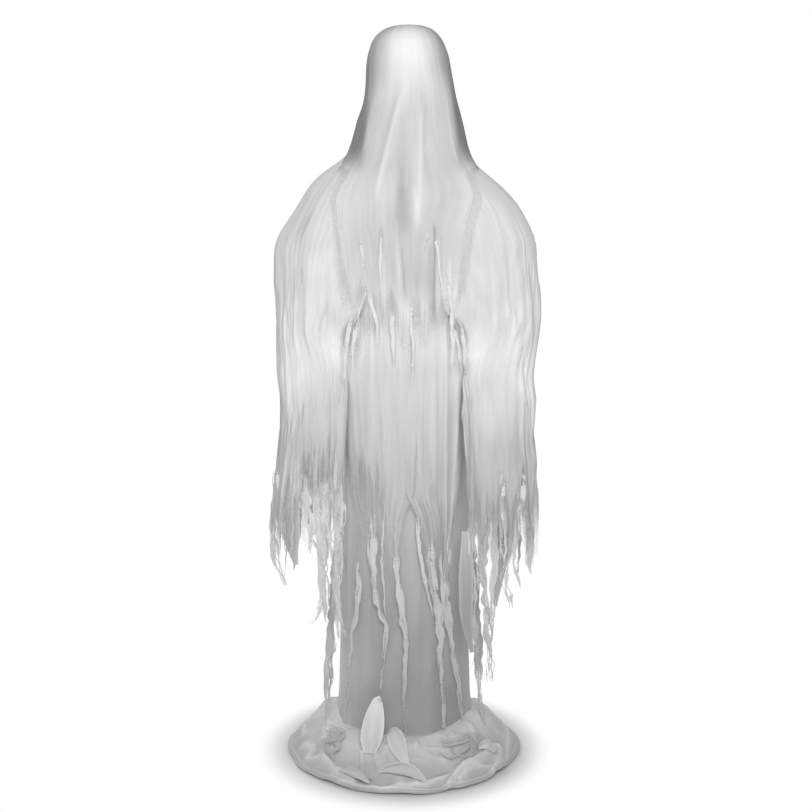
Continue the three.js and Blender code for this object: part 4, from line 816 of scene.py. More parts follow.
def sleeve_grid(side, seed, rows=230, columns=220):
    """A sleeve's points, cover and grey. side is -1 for the side at negative x, and 1 for the other."""
    u, v = across_and_down(rows, columns)
    hem = sleeve_hem - sleeve_tear * (torn_edge(u, seed, 9) - 0.5) \
        + edge_tear * (1 - smoothstep(0.0, 0.06, u)) + edge_tear * smoothstep(0.94, 1.0, u)
    z = sleeve_top + (hem - sleeve_top) * v
    side_outline = outline_left if side < 0 else outline_right
    outline = smooth_table(z, outline_height, side_outline)
    angle = shoulder_angles(u, z, outline)
    push = sleeve_folds(u, v, seed)
    # Only the outer edge follows the elbow. The folds in front of it fall past it in longer lines
    settled = smooth_table(z, outline_height, side_outline, 0.09)
    outline = settled + (outline - settled) * smoothstep(0.72, 0.97, np.cos(angle))
    deep = smooth_table(z, shoulder_height, shoulder_depth)
    x_high, y_high = ellipse_ring(angle, outline + push, deep + push, shoulder_power)
    x_low, y_low = forearm_section(u, z, outline, push)
    share = 1 - smoothstep(0.98, 1.17, z)
    x = x_high * (1 - share) + x_low * share
    y = y_high * (1 - share) + y_low * share
    return np.stack([side * x, y, z], axis=2), sleeve_cover(u, z, hem), sleeve_grey(u, v, z, side, seed)


sleeves = {}
for side, name, seed in ((-1, "left", 80), (1, "right", 90)):
    points, cover, grey = sleeve_grid(side, seed)
    piece = sheet_piece(f"{name}_gauze_sleeve", points, cover, gauze, flip=side < 0, grey=grey)
    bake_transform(piece)
    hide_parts(f"{name}_sleeve")
    sleeves[name] = piece
    print(name, "sleeve faces:", len(piece.data.polygons))

# %% [markdown]
# ## The hood
# The hood is a closed bag of close-woven gauze over a hollow head shell, without a face. It falls from
# an egg-shaped crown, widens at the neck and runs on over the chest as one long bib, which ends in soft
# tatters at the waist. At the back it ends between the shoulders. Two ridges with painted highlights and
# a valley in painted shade fan out below the chin, and a gusset in painted shade lies on each side of
# the neck. The crown carries a painted highlight, and its edge painted shade.

# %% Hood outline
# The hood's reach to each side and to the front, by height, measured on the photograph
hood_height = [1.42, 1.451, 1.481, 1.512, 1.542, 1.573, 1.603, 1.634, 1.664, 1.695, 1.725, 1.756, 1.786,
               1.802, 1.816, 1.824, 1.8275]
hood_left = [.208, .188, .168, .148, .134, .1245, .1169, .106, .0985, .0955, .0945, .0900, .0810,
             .0710, .0540, .0360, .0150]
hood_right = [.220, .206, .186, .168, .155, .1474, .1410, .1350, .1285, .122, .1150, .1080, .0965,
              .0870, .0730, .0560, .0390]
hood_front = [.157, .149, .138, .128, .1245, .1225, .121, .119, .117, .115, .1125, .1080, .0980,
              .0850, .0660, .0470, .0270]
# The bib below it is as wide on both sides
bib_height = [0.98, 1.05, 1.12, 1.20, 1.30, 1.36]
bib_half = [.150, .155, .160, .170, .186, .199]
bib_front = [.160, .163, .166, .168, .166, .163]
crown_top = 1.8282
crown_place = 0.012
hood_power = 2.2

hood_heights = np.array(bib_height + hood_height)
left_profile = np.array(bib_half + hood_left)
right_profile = np.array(bib_half + hood_right)
hood_middle = (right_profile - left_profile) / 2
hood_half = (right_profile + left_profile) / 2
hood_depth = np.array(bib_front + hood_front)
# The same tables by the distance from the crown's top, mirrored before it so that it comes out round
steps = np.hypot(np.diff(np.append(hood_half, 0)), np.diff(np.append(hood_heights, crown_top)))
from_top = np.cumsum(steps[::-1])
section = np.concatenate([-from_top[::-1], [0], from_top])
section_height = np.concatenate([hood_heights, [crown_top], hood_heights[::-1]])
section_half = np.concatenate([-hood_half, [0], hood_half[::-1]])
section_depth = np.concatenate([-hood_depth, [0], hood_depth[::-1]])
section_middle = np.concatenate([hood_middle, [crown_place], hood_middle[::-1]])
print("hood section, from the top to the bib's end:", round(float(from_top[-1]), 3), "m")

# %% Shade on the chest
# Soft shade and light on the chest: place across and height of the top and the bottom, half width,
# and strength, which is below 0 for light
chest_tones = [
    ((.069, 1.350), (.076, .93), .0050, .34), ((.084, 1.330), (.086, 1.20), .0030, .14),
    ((-.002, 1.300), (.000, 1.18), .0035, .22), ((-.006, 1.44), (-.002, 1.34), .0200, .12),
    ((-.052, 1.350), (-.056, 1.29), .0070, .16), ((-.068, 1.19), (-.062, 1.09), .0100, .12),
    ((-.105, 1.19), (-.100, 1.11), .0080, .12), ((.060, 1.30), (.066, 1.10), .0090, .14),
    ((.030, 1.24), (.034, 1.10), .0040, .10), ((-.030, 1.20), (-.028, 1.04), .0050, .12),
    ((.128, 1.22), (.136, 1.06), .0040, .14), ((-.150, 1.14), (-.152, 1.04), .0080, .12),
    ((.022, 1.44), (.030, 1.36), .0060, -.14), ((-.017, 1.36), (-.012, 1.22), .0035, -.16),
    ((.104, 1.27), (.108, 1.13), .0040, -.18), ((-.144, 1.20), (-.142, 1.12), .0035, -.16),
    ((.120, 1.20), (.118, 1.02), .0120, -.08), ((-.050, 1.28), (-.048, 1.18), .0030, -.12),
    ((-.086, 1.33), (-.076, 1.25), .0030, -.12), ((.008, 1.15), (.012, 1.02), .0050, -.10),
]


def chest_shade(x, z):
    """How much painted shade the small tears and folds lay on the chest; below 0 it is painted light."""
    shade = np.zeros_like(x)
    for (top_x, top_z), (end_x, end_z), half_width, strength in chest_tones:
        down = np.clip((top_z - z) / (top_z - end_z), 0, 1)
        line = top_x + (end_x - top_x) * down + 0.002 * np.sin(23 * z + 40 * top_x)
        reach = smoothstep(top_z + 0.012, top_z - 0.012, z) * smoothstep(end_z - 0.03, end_z + 0.03, z)
        shade += strength * reach * bell(x - line, half_width * (0.6 + 0.6 * down))
    return shade


print("soft tones on the chest:", len(chest_tones))

# %% Hood folds
def hood_lines(x, z, facing):
    """The two ridges below the chin, the valley between them and the gussets beside the neck, each
    from 0 to 1. facing is 1 at the front and -1 at the back."""
    left_line = np.interp(z, [1.45, 1.55, 1.66, 1.74], [-.099, -.093, -.085, -.082])
    right_line = np.interp(z, [1.45, 1.51, 1.63, 1.74], [.130, .126, .114, .104])
    gusset = smoothstep(-0.006, 0.012, left_line - x) + smoothstep(-0.006, 0.012, x - right_line)
    gusset = gusset * smoothstep(-0.35, 0.1, facing)
    gusset = gusset * smoothstep(1.46, 1.54, z) * smoothstep(1.76, 1.64, z)
    first_x = np.interp(z, [1.44, 1.515, 1.60, 1.68], [-.060, -.042, -.022, .002])
    second_x = np.interp(z, [1.30, 1.45, 1.62], [.030, .036, .040])
    first = bell(x - first_x, 0.010) * smoothstep(1.71, 1.62, z) * smoothstep(1.38, 1.46, z)
    second = bell(x - second_x, 0.009) * smoothstep(1.67, 1.60, z) * smoothstep(1.30, 1.42, z)
    valley = bell(x + 0.006, 0.016) * smoothstep(1.62, 1.48, z) * smoothstep(1.28, 1.38, z)
    return first + second, valley, gusset


def hood_folds(u, v, z, angle, wave):
    """How far the hood's folds push it out: broad ones below the chin, and pleats at the sides."""
    broad = fold_field(u, v, 11, 101, width=0.5, drift=0.5, round_trip=True)
    pleats = fold_field(u, v, 46, 102, width=0.4, drift=0.6, round_trip=True)
    fine = fold_field(u, v, 52, 104, width=0.4, drift=1.4, round_trip=True)
    at_side = np.abs(np.cos(angle)) ** 3
    push = smoothstep(1.72, 1.56, z) * (0.008 * broad - 0.003)
    push = push + 0.003 * at_side * pleats * smoothstep(1.70, 1.56, z)
    return push + 0.0025 * wave * v + 0.0016 * fine * smoothstep(1.46, 1.30, z)


def over_shoulder(x, z):
    """How far the sleeves stand out at a place, so that the bib can lie on them."""
    outline = np.where(x < 0, smooth_table(z, outline_height, outline_left),
                       smooth_table(z, outline_height, outline_right))
    deep = smooth_table(z, shoulder_height, shoulder_depth)
    return deep * np.clip(1 - (np.abs(x) / outline) ** shoulder_power, 0, 1) ** (1 / shoulder_power)


stand_out = over_shoulder(np.array([0.1]), np.array([1.3]))
print("at 1.3 m the sleeves stand out", np.round(stand_out, 3), "m beside the bib")

# %% Hood weave and grey
def hood_cover(z, hem, front, side_opening):
    """How closed the hood's weave is. The tatters hang longer at the front, so it opens slowly there."""
    cover = 1.4 * smoothstep(0, 1, (z - hem) / (0.05 + 0.36 * front))
    return np.minimum(cover, 1.1) - 1.7 * side_opening


def hood_painted_light_and_shade(x, z, angle, front, wave, lines, side_opening):
    """Painted light and shade on the hood: shade in the gussets, on the sides, round the crown's edge and
    over the chest, and light where the bib thins, over its hem and along the ridges below the chin.
    """
    ridges, valley, gusset = lines
    at_side = np.abs(np.cos(angle))
    # Painted shade on the sides, round the crown's edge and over the chest, below the crown's painted
    # highlight
    shaded_side = smoothstep(0.62, 1.0, at_side) * smoothstep(1.47, 1.57, z)
    crown_edge_painted_shade = 0.30 * smoothstep(1.800, 1.826, z) \
        + 0.42 * smoothstep(0.15, 0.80, at_side) * smoothstep(1.64, 1.74, z)
    chest = 0.42 * smoothstep(1.79, 1.60, z) + 0.07 * smoothstep(1.42, 1.30, z)
    # Painted light where the bib thins out at its sides and over its hem, where the layers below lie in
    # shade
    painted_light_at_opening = side_opening * (1 - side_opening) * 4
    grey = chest + 0.36 * shaded_side + (0.36 + 0.12 * wave) * gusset + crown_edge_painted_shade - 0.25 * painted_light_at_opening
    grey = grey - 0.36 * front * smoothstep(1.24, 1.10, z)
    # Painted highlights on the two ridges, painted shade in the valley, and the chest's painted tones
    drawn = 0.13 * valley - 0.16 * ridges + chest_shade(x, z) * smoothstep(1.56, 1.46, z)
    return grey + smoothstep(0.0, 0.25, -np.sin(angle)) * drawn


print("the hood's weave at its hem:", hood_cover(1.0, 1.0, 1.0, 0.0))

# %% Hood
back_hem = 1.500
bib_length = 0.50
back_length = 0.215
section_reach = 0.012


def hood_grid(rows=272, columns=360):
    """The hood's points, how closed its weave is and how grey it is."""
    u, v = across_and_down(rows, columns, loop=True)
    angle = 2 * math.pi * u - math.pi / 2
    front = np.clip(-np.sin(angle), 0, 1)
    back = np.clip(np.sin(angle), 0, 1)
    hem = back_hem - bib_length * smoothstep(0.16, 0.55, front) \
        - back_length * smoothstep(0.16, 0.85, back) \
        - (0.06 + 0.12 * front) * (torn_edge(u, 100, 15, round_trip=True) - 0.5)
    down = np.interp(-hem, -hood_heights[::-1], from_top) * v
    z, half, deep, middle = [smooth_table(down, section, table, section_reach) for table in
                             (section_height, section_half, section_depth, section_middle)]
    # Where the hood's front panel ends, a narrow gusset lies deeper and in shade on each side
    flat_x = middle + half * np.sign(np.cos(angle)) * np.abs(np.cos(angle)) ** (2 / hood_power)
    lines = hood_lines(flat_x, z, -np.sin(angle))
    ridges, valley, gusset = lines
    wave = soft_noise(u, v, 8, 7, 103, True)
    push = hood_folds(u, v, z, angle, wave) - 0.003 * gusset
    push = push + smoothstep(0.0, 0.25, -np.sin(angle)) * (0.006 * ridges - 0.005 * valley)
    push = push * smoothstep(0, 0.05, v)
    x, y = ellipse_ring(angle, np.maximum(half + push, 0), np.maximum(deep + push, 0), hood_power)
    x = x + middle
    # Below the neck the bib is carried by the sleeves' cloth, front and back
    from_side = np.abs(np.sin(angle))
    carried = smoothstep(0.20, 0.50, from_side) * smoothstep(1.53, 1.47, z)
    above = over_shoulder(x, z) + 0.004 + 0.005 * smoothstep(1.46, 1.25, z) - np.abs(y)
    y = y + np.sign(y) * carried * (above + np.sqrt(above ** 2 + 0.008 ** 2)) / 2
    # Between the bib and the back the cloth ends at the shoulder
    side_opening = smoothstep(1.51, 1.46, z) * (1 - smoothstep(0.15, 0.97, from_side))
    cover = hood_cover(z, hem, front, side_opening)
    grey = hood_painted_light_and_shade(x, z, angle, front, wave, lines, side_opening)
    return np.stack([x, y, z], axis=2), cover, grey


hood_points, hood_closed, hood_grey = hood_grid()
hood = sheet_piece("gauze_hood", hood_points, hood_closed, hood_gauze, loop=True, grey=hood_grey)
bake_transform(hood)
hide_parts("hood")
print("hood faces:", len(hood.data.polygons))

# %% [markdown]
# ## The gown's gauze panels
# Over the satin hangs a torn layer of gauze. At the front it is split from the middle down, so it is
# made as two panels that overlap above the split and part below it. Each column of a panel has its own
# length, which makes long tongues and short tears, and the weave opens towards every edge.

# %% Gown panels
layer_side = 0.1765
layer_front = 0.160
panel_top = 1.29
panel_heights = [.30, .44, .54, .66, .70, 1.0, 1.3]


def on_layer(x, lift=0.0, front=True):
    """How far forward or back the gauze layer lies at x."""
    across, deep = layer_side + lift, layer_front + lift
    y = deep * np.sqrt(np.clip(1 - (np.asarray(x, float) / across) ** 2, 0, 1))
    return -y if front else y


def panel_hem(u, heights, seed, tear):
    """A hem that follows heights given at even places across, torn by up to a length."""
    line = np.interp(u, np.linspace(0, 1, len(heights)), heights)
    return line - tear * (torn_edge(u, seed, 5) - 0.5)


def gown_panel(name, first_edge, second_edge, hem_heights, seed, tear=0.16, front=True, columns=90):
    """A panel between two edge lines, from the panels' top to a torn hem."""
    u, v = across_and_down(150, columns)
    z = panel_top + (panel_hem(u, hem_heights, seed, tear) - panel_top) * v
    first = smooth_table(z, panel_heights, first_edge)
    second = smooth_table(z, panel_heights, second_edge)
    x = first + (second - first) * u
    fold = fold_field(u, v, 7, seed + 1, width=0.4, drift=1.2)
    fine = fold_field(u, v, 16, seed + 2, width=0.35, drift=1.6)
    lift = (0.002 + 0.0045 * fold + 0.001 * fine) * (0.35 + 0.65 * smoothstep(1.22, 0.98, z))
    points = np.stack([x, on_layer(x, lift, front), z], axis=2)
    rim = smoothstep(0.0, 0.10, u) * (1 - smoothstep(0.90, 1.0, u))
    cover = (1.16 - 0.80 * smoothstep(0.35, 1.0, v)) * (0.40 + 0.60 * rim)
    beside = np.abs(x / layer_side)
    # Greyer in the middle above 0.8 m; painted light under the bib and at the sides, where bib and sleeves
    # shade it
    grey = 0.42 * (1 - beside ** 2) * smoothstep(0.55, 0.78, z) - 0.04 \
        - (0.14 + 0.30 * beside ** 3) * smoothstep(0.99, 1.07, z)
    piece = sheet_piece(name, points, cover, panel_gauze, flip=not front, grey=grey)
    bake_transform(piece)
    return piece


left_panel = gown_panel("left_front_panel", [-.100, -.098, -.096, -.128, -.142, -.162, -.162],
                        [-.004, -.002, -.003, .008, .030, .045, .045], [.62, .56, .50, .40, .46], 120)
right_panel = gown_panel("right_front_panel", [.086, .068, .050, .024, -.004, -.020, -.020],
                         [.128, .124, .122, .136, .146, .164, .164], [.40, .36, .48, .42, .56], 130)
back_edges = [.130, .128, .126, .124, .124, .126, .128]
back_panel = gown_panel("back_panel", [-x for x in back_edges], back_edges,
                        [.52, .34, .46, .30, .42, .36, .56], 140, tear=0.18, front=False, columns=150)
gown_panels = [left_panel, right_panel, back_panel]
print("panel faces:", sum(len(panel.data.polygons) for panel in gown_panels))

# %% [markdown]
# ## Torn strips
# The hems end in strips, torn by hand along the threads. A strip isn't a ribbon: it is rolled in on
# itself, swells and narrows every few centimetres where loose threads have knotted, and turns as it
# hangs. Each one is set out by a few points that it passes, and small noise does the rest.

# %% Torn strips
def smooth_path(points, step):
    """A line through the given points, with a point every step."""
    points = np.asarray(points, float)
    ends = np.concatenate([[2 * points[0] - points[1]], points, [2 * points[-1] - points[-2]]])
    line = []
    for i in range(len(points) - 1):
        a, b, c, d = ends[i:i + 4]
        count = max(2, int(np.linalg.norm(c - b) / step))
        for s in np.arange(count) / count:
            line.append(0.5 * (2 * b + (c - a) * s + (2 * a - 5 * b + 4 * c - d) * s ** 2
                               + (3 * b - a - 3 * c + d) * s ** 3))
    line.append(points[-1])
    return np.array(line)


def slow_noise(count, per_step, rng):
    """Smooth noise between about -1 and 1 along a line, with a new value every so many points."""
    marks = rng.uniform(-1, 1, int(count / per_step) + 4)
    place = np.arange(count) / per_step
    i = place.astype(int)
    f = place - i
    f = f * f * (3 - 2 * f)
    return marks[i] * (1 - f) + marks[i + 1] * f


strip_step = 0.006
thinnest = 0.0022


def torn_strip(points, width, rng, facing=(0, -1, 0), wander=0.004, knots=0.55):
    """One torn, rolled strip through points; width is its flat width at the top."""
    path = smooth_path(points, strip_step)
    count = len(path)
    s = np.linspace(0, 1, count)
    free = smoothstep(0.0, 0.15, s)
    for axis, share in ((0, 1.0), (1, 0.6)):
        sway = slow_noise(count, 7, rng) + 0.5 * slow_noise(count, 3, rng)
        path[:, axis] += free * wander * share * sway
    taper = 1 - 0.65 * s ** 1.5
    knobs = 1 + knots * slow_noise(count, 3.0, rng) * (0.5 + 0.5 * np.abs(slow_noise(count, 11, rng))) \
        + 0.4 * knots * slow_noise(count, 9, rng)
    widths = np.maximum(width * taper * knobs, thinnest)
    widths[-4:] *= np.linspace(1, 0.35, min(4, count))[:len(widths[-4:])]
    roll = 0.55 * slow_noise(count, 12, rng) * free
    crumple = 0.12 + 0.14 * np.abs(slow_noise(count, 5, rng))
    shade = 0.95 - 0.3 * smoothstep(0.55, 1.0, s) + 0.15 * slow_noise(count, 4, rng)
    shade = shade * smoothstep(-0.02, 0.25, s)
    return strip_mesh(path, widths, facing, roll, crumple, shade, rng)


def hanging(x, y, top, bottom, width, rng, facing, sway=0.012):
    """A strip that hangs from a point, with a little sway."""
    middle = [(x + rng.uniform(-sway, sway) * k, y + rng.uniform(-sway, sway) * k * 0.6,
               top + (bottom - top) * k) for k in (0.35, 0.7)]
    end = (x + rng.uniform(-sway, sway) * 1.4, y + rng.uniform(-sway, sway), bottom)
    return torn_strip([(x, y, top), *middle, end], width, rng, facing=facing)


rng = np.random.default_rng(7)
print("points along a strip of 0.3 m:", len(smooth_path([(0, 0, 0.3), (0, 0, 0)], strip_step)))

# %% Places of the sleeves' strips
# Each line is the places that a strip passes, as x, y and height, and the strip's flat width
left_lines = [
    ([(-.288, -.165, .785), (-.305, -.160, .74), (-.321, -.152, .62), (-.316, -.150, .541),
      (-.292, -.150, .477)], .024),
    ([(-.300, -.130, .77), (-.311, -.126, .74), (-.308, -.130, .64), (-.300, -.128, .56)], .018),
    ([(-.215, -.222, .77), (-.210, -.215, .74), (-.208, -.200, .62), (-.206, -.180, .528),
      (-.205, -.172, .44), (-.218, -.168, .40), (-.232, -.166, .384)], .022),
    ([(-.192, -.215, .785), (-.191, -.205, .70), (-.190, -.190, .60), (-.197, -.176, .49),
      (-.191, -.170, .378)], .026),
    ([(-.170, -.200, .785), (-.166, -.190, .70), (-.163, -.182, .60), (-.168, -.176, .49),
      (-.157, -.176, .40), (-.141, -.178, .354)], .022),
    ([(-.158, -.178, .785), (-.156, -.176, .70), (-.158, -.172, .55), (-.160, -.172, .43),
      (-.158, -.176, .34)], .020),
    ([(-.252, -.222, .77), (-.251, -.212, .76), (-.254, -.200, .695)], .030),
    ([(-.300, -.190, .77), (-.297, -.190, .74), (-.290, -.185, .66)], .022),
    ([(-.235, -.226, .785), (-.232, -.215, .74), (-.226, -.205, .64), (-.228, -.196, .57)], .020),
]
right_lines = [
    ([(.160, -.190, .785), (.166, -.184, .74), (.165, -.178, .60), (.161, -.176, .49),
      (.170, -.174, .36), (.178, -.172, .268)], .026),
    ([(.182, -.205, .785), (.186, -.195, .72), (.190, -.180, .60), (.196, -.172, .49),
      (.206, -.168, .34), (.215, -.168, .236)], .028),
    ([(.206, -.218, .77), (.213, -.206, .765), (.219, -.190, .62), (.216, -.180, .465),
      (.211, -.176, .34)], .024),
    ([(.250, -.225, .77), (.252, -.210, .70), (.256, -.196, .591), (.247, -.188, .503),
      (.255, -.184, .444)], .020),
    ([(.270, -.215, .77), (.274, -.205, .76), (.280, -.195, .682)], .030),
    ([(.303, -.165, .785), (.306, -.158, .74), (.303, -.152, .64), (.308, -.150, .56),
      (.313, -.150, .503)], .026),
    ([(.296, -.190, .77), (.300, -.182, .74), (.296, -.174, .66), (.300, -.170, .60)], .018),
    ([(.172, -.170, .77), (.176, -.168, .70), (.182, -.166, .56), (.178, -.168, .47)], .018),
    ([(.228, -.226, .785), (.226, -.214, .72), (.232, -.202, .62), (.236, -.196, .55)], .022),
    ([(.256, -.190, .47), (.262, -.188, .45), (.264, -.188, .43)], .008),
]
print("long strips at the sleeves:", len(left_lines), "and", len(right_lines))

# %% Sleeve strips
threads_beside = 2
short_ends = 11
mouth_x, mouth_y = 0.231, -0.152
mouth_width, mouth_depth = 0.078, 0.070


def sleeve_strips(name, side, lines):
    """The strips at a sleeve's hem, as one piece that rides the arm."""
    made = [torn_strip(line, 0.8 * width, rng) for line, width in lines]
    # Loose threads hang beside every strip and cross it
    for line, width in lines:
        for _ in range(threads_beside):
            aside = rng.uniform(-0.009, 0.009, (len(line), 1)) * np.array([[1.0, 0.5, 0.0]])
            made.append(torn_strip(np.array(line) + aside, 0.22 * width, rng, wander=0.007, knots=0.8))
    # Short ends hang all round the rest of the sleeve's mouth
    for _ in range(short_ends):
        turn = math.radians(rng.uniform(-150, 140))
        x = side * (mouth_x + mouth_width * math.cos(turn))
        y = mouth_y + mouth_depth * math.sin(turn)
        bottom = 0.60 - 0.12 * rng.uniform(0, 1)
        outwards = (side * math.cos(turn), math.sin(turn), 0)
        made.append(hanging(x, y, 0.76, bottom, rng.uniform(0.010, 0.02), rng, outwards))
    strips = gather(f"{name}_sleeve_strips", made, frayed_gauze)
    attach(strips, f"{name}_arm")
    return strips


strip_sets = {"left": sleeve_strips("left", -1, left_lines),
              "right": sleeve_strips("right", 1, right_lines)}
print("sleeve strips and short ends:", len(left_lines) + len(right_lines) + 2 * short_ends)

# %% [markdown]
# The gown's own strips hang straight down the front, some as far as the floor cloth, where their ends
# lie in tangles. Four more hang beside the gown, from its sides out to the floor cloth.

# %% Places of the gown's strips
def gown_line(*line, lift=0.006):
    """Points on the gauze layer at (x, z) places."""
    return [(x, float(on_layer(x, lift)), z) for x, z in line]


gown_lines = [
    (gown_line((-.074, .68), (-.074, .50), (-.062, .41), (-.044, .378), (-.050, .313), (-.060, .209)),
     .018),
    (gown_line((-.047, .68), (-.052, .48), (-.046, .42), (-.043, .378)), .009),
    (gown_line((-.088, .64), (-.080, .48), (-.066, .43), (-.052, .40), (-.044, .378)), .006),
    (gown_line((-.026, .66), (-.020, .52), (-.008, .443), (.002, .341), (-.001, .212), (.004, .095)),
     .017),
    (gown_line((.056, .64), (.078, .438), (.088, .334), (.092, .229), (.098, .090)), .024),
    (gown_line((.112, .64), (.104, .434), (.118, .327), (.138, .187), (.150, .085)), .020),
    (gown_line((.088, .58), (.096, .42), (.090, .34), (.094, .27), (.104, .21)), .012),
    (gown_line((-.108, .60), (-.116, .42), (-.131, .323), (-.144, .185), (-.155, .085)), .012),
    (gown_line((.030, .68), (.040, .54), (.058, .45), (.070, .40)), .012),
]
side_lines = [
    ([(-.153, -.045, .57), (-.176, -.058, .46), (-.187, -.062, .34), (-.197, -.066, .23),
      (-.197, -.075, .121), (-.200, -.085, .085)], .026),
    ([(.153, -.040, .56), (.177, -.048, .45), (.186, -.058, .33), (.190, -.062, .22),
      (.198, -.070, .12), (.205, -.080, .085)], .024),
    ([(-.158, .018, .60), (-.176, .020, .50), (-.188, .020, .36), (-.192, .024, .24),
      (-.198, .030, .10)], .022),
    ([(.158, .026, .60), (.176, .030, .50), (.188, .030, .36), (.190, .034, .24),
      (.198, .040, .10)], .022),
]
print("strips before and beside the gown:", len(gown_lines), "and", len(side_lines))

# %% Places of the tangles
tangle_lines = [
    ([(.070, -.182, .095), (.100, -.190, .088), (.135, -.186, .094), (.165, -.170, .090),
      (.150, -.200, .074), (.110, -.215, .058), (.085, -.205, .072)], .014),
    ([(.120, -.176, .12), (.150, -.170, .10), (.185, -.150, .098), (.176, -.185, .080),
      (.140, -.215, .055), (.118, -.232, .036)], .010),
    ([(.150, -.150, .105), (.172, -.176, .092), (.162, -.205, .062), (.132, -.210, .062),
      (.120, -.190, .082), (.146, -.184, .092)], .007),
    ([(-.215, -.115, .108), (-.190, -.140, .102), (-.155, -.158, .094), (-.172, -.175, .088),
      (-.200, -.170, .080), (-.180, -.200, .062), (-.146, -.220, .040)], .018),
    ([(-.205, -.145, .098), (-.178, -.160, .096), (-.165, -.190, .072), (-.190, -.190, .066),
      (-.205, -.165, .086)], .012),
    ([(.003, -.168, .12), (.006, -.176, .088), (.020, -.205, .060), (.050, -.228, .040),
      (.100, -.240, .030)], .008),
    ([(-.030, -.170, .11), (-.045, -.186, .082), (-.020, -.205, .062), (.010, -.222, .045),
      (-.010, -.240, .032)], .012),
]
# Where the back strips hang across the gown, how low they reach and their width
back_places = [(-.11, .16, .02), (-.06, .10, .024), (-.01, .22, .016), (.05, .11, .026), (.10, .18, .018)]
back_top = 0.50
print("tangled ends on the floor:", len(tangle_lines))

# %% Gown strips
front_made = [torn_strip(line, width, rng, wander=0.003) for line, width in gown_lines + side_lines]
floor_made = [torn_strip(line, width, rng, facing=(0, -0.6, 0.8), wander=0.004, knots=0.7)
              for line, width in tangle_lines]
gown_strips = gather("gown_strips", front_made + floor_made, frayed_gauze)
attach(gown_strips, "base")
back_made = []
for x, bottom, width in back_places:
    y = float(on_layer(x, 0.006, front=False))
    back_made.append(hanging(x, y, back_top, bottom, width, rng, (0, 1, 0), sway=0.008))
back_strips = gather("back_strips", back_made, frayed_gauze)
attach(back_strips, "base")
print("gown strips:", len(front_made) + len(floor_made) + len(back_made))

# %% [markdown]
# ## Torn ends on the chest
# Where the hood and the bodice end, a few narrow tongues run on over the gown. Above them, thin tears
# with a raised, rolled edge run down the chest, and short ends hang at both armholes.

# %% Chest strips
def on_chest(x, z, lift):
    """A place on the bib, or on the gown's layer below the bib, lifted a little."""
    bib = hood_points.reshape(-1, 3)
    bib = bib[bib[:, 1] < 0]
    away = np.hypot(bib[:, 0] - x, bib[:, 2] - z)
    near = np.argmin(away)
    y = min(float(bib[near, 1]) if away[near] < 0.02 else 0.0, float(on_layer(x, 0.008)))
    return (x, y - lift, z)


chest_lift = 0.0045
armhole_lift = 0.010
# The places that each line passes, as x and height, and its width
chest_lines = [
    ([(-.104, 1.33), (-.098, 1.28), (-.092, 1.23), (-.088, 1.20)], .007),
    ([(-.088, 1.21), (-.076, 1.17), (-.066, 1.13), (-.064, 1.09), (-.062, 1.06)], .008),
    ([(-.088, 1.21), (-.098, 1.17), (-.106, 1.14), (-.112, 1.11)], .006),
    ([(-.050, 1.36), (-.053, 1.30), (-.056, 1.22), (-.050, 1.14)], .006),
    ([(-.028, 1.16), (-.026, 1.10), (-.024, 1.03)], .012),
    ([(.060, 1.345), (.050, 1.31), (.044, 1.28)], .006),
    ([(.062, 1.345), (.074, 1.31), (.082, 1.27), (.088, 1.20), (.098, 1.15)], .006),
    ([(.020, 1.20), (.018, 1.12), (.022, 1.06), (.018, .98)], .010),
    ([(.104, 1.24), (.110, 1.16), (.116, 1.08), (.114, 1.02)], .012),
]
armhole_lines = [
    ([(-.122, 1.14), (-.136, 1.08), (-.140, 1.03), (-.142, .98)], .013),
    ([(-.112, 1.12), (-.122, 1.07), (-.124, 1.01)], .010),
    ([(.126, 1.14), (.140, 1.08), (.146, 1.03), (.148, .98)], .013),
    ([(.114, 1.12), (.128, 1.07), (.132, 1.02)], .010),
]
chest_made = [torn_strip([on_chest(x, z, lift) for x, z in line], width, rng, wander=0.002, knots=0.35)
              for lines, lift in ((chest_lines, chest_lift), (armhole_lines, armhole_lift))
              for line, width in lines]
chest_strips = gather("chest_strips", chest_made, frayed_gauze)
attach(chest_strips, "torso")
print("chest strips:", len(chest_made))

# %% [markdown]
# ## Satin ends
# Pieces of the inner satin show at the sleeves and on the floor: a rounded lobe, a torn corner, and
# folded ends of the hem that catch the light, drawn in a lighter copy of the satin as painted highlight.
# Each is a small bent sheet with a rolled edge, painted greyer in its middle and lighter at its edges.

# %% Satin end helper
leaf_step = 0.004
leaf_columns = 25
# A lighter copy of the satin, as a painted highlight on the folded ends that catch the light
painted_highlight_satin = polyester_satin("painted_highlight_polyester_satin", "ebebeb", "bcbcbc", -0.1, 0.15, 0.25)


def leaf(name, body, line, widths, bulge, facing=(0, -1, 0), material=painted_highlight_satin, darker=0.0):
    """A tongue of cloth along a line, wide in the middle, arched across and curled up at its edges."""
    path = smooth_path(line, leaf_step)
    count = len(path)
    s = np.linspace(0, 1, count)[:, None]
    width = smooth_table(s, np.linspace(0, 1, len(widths)), widths, 0.12)
    side, out = band_frame(path, facing)
    across = np.linspace(-0.5, 0.5, leaf_columns)[None, :]
    edge = np.abs(2 * across)
    arch = bulge * (1 - edge ** 2) + 0.10 * edge ** 6 + 0.03 * np.sin(7 * across + 6 * s)
    points = band_points(path, side, out, across * width, arch * width)
    # Painted shade down the middle of the tongue, and painted highlights along its curled edges and at its
    # ends
    grey = 0.30 * (1 - edge ** 4) * (0.4 + 0.6 * np.sin(math.pi * s)) + darker
    piece = sheet_piece(name, points, 1.0, material, grey=grey)
    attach(piece, body)
    return piece


print("a satin end has", leaf_columns, "points across")

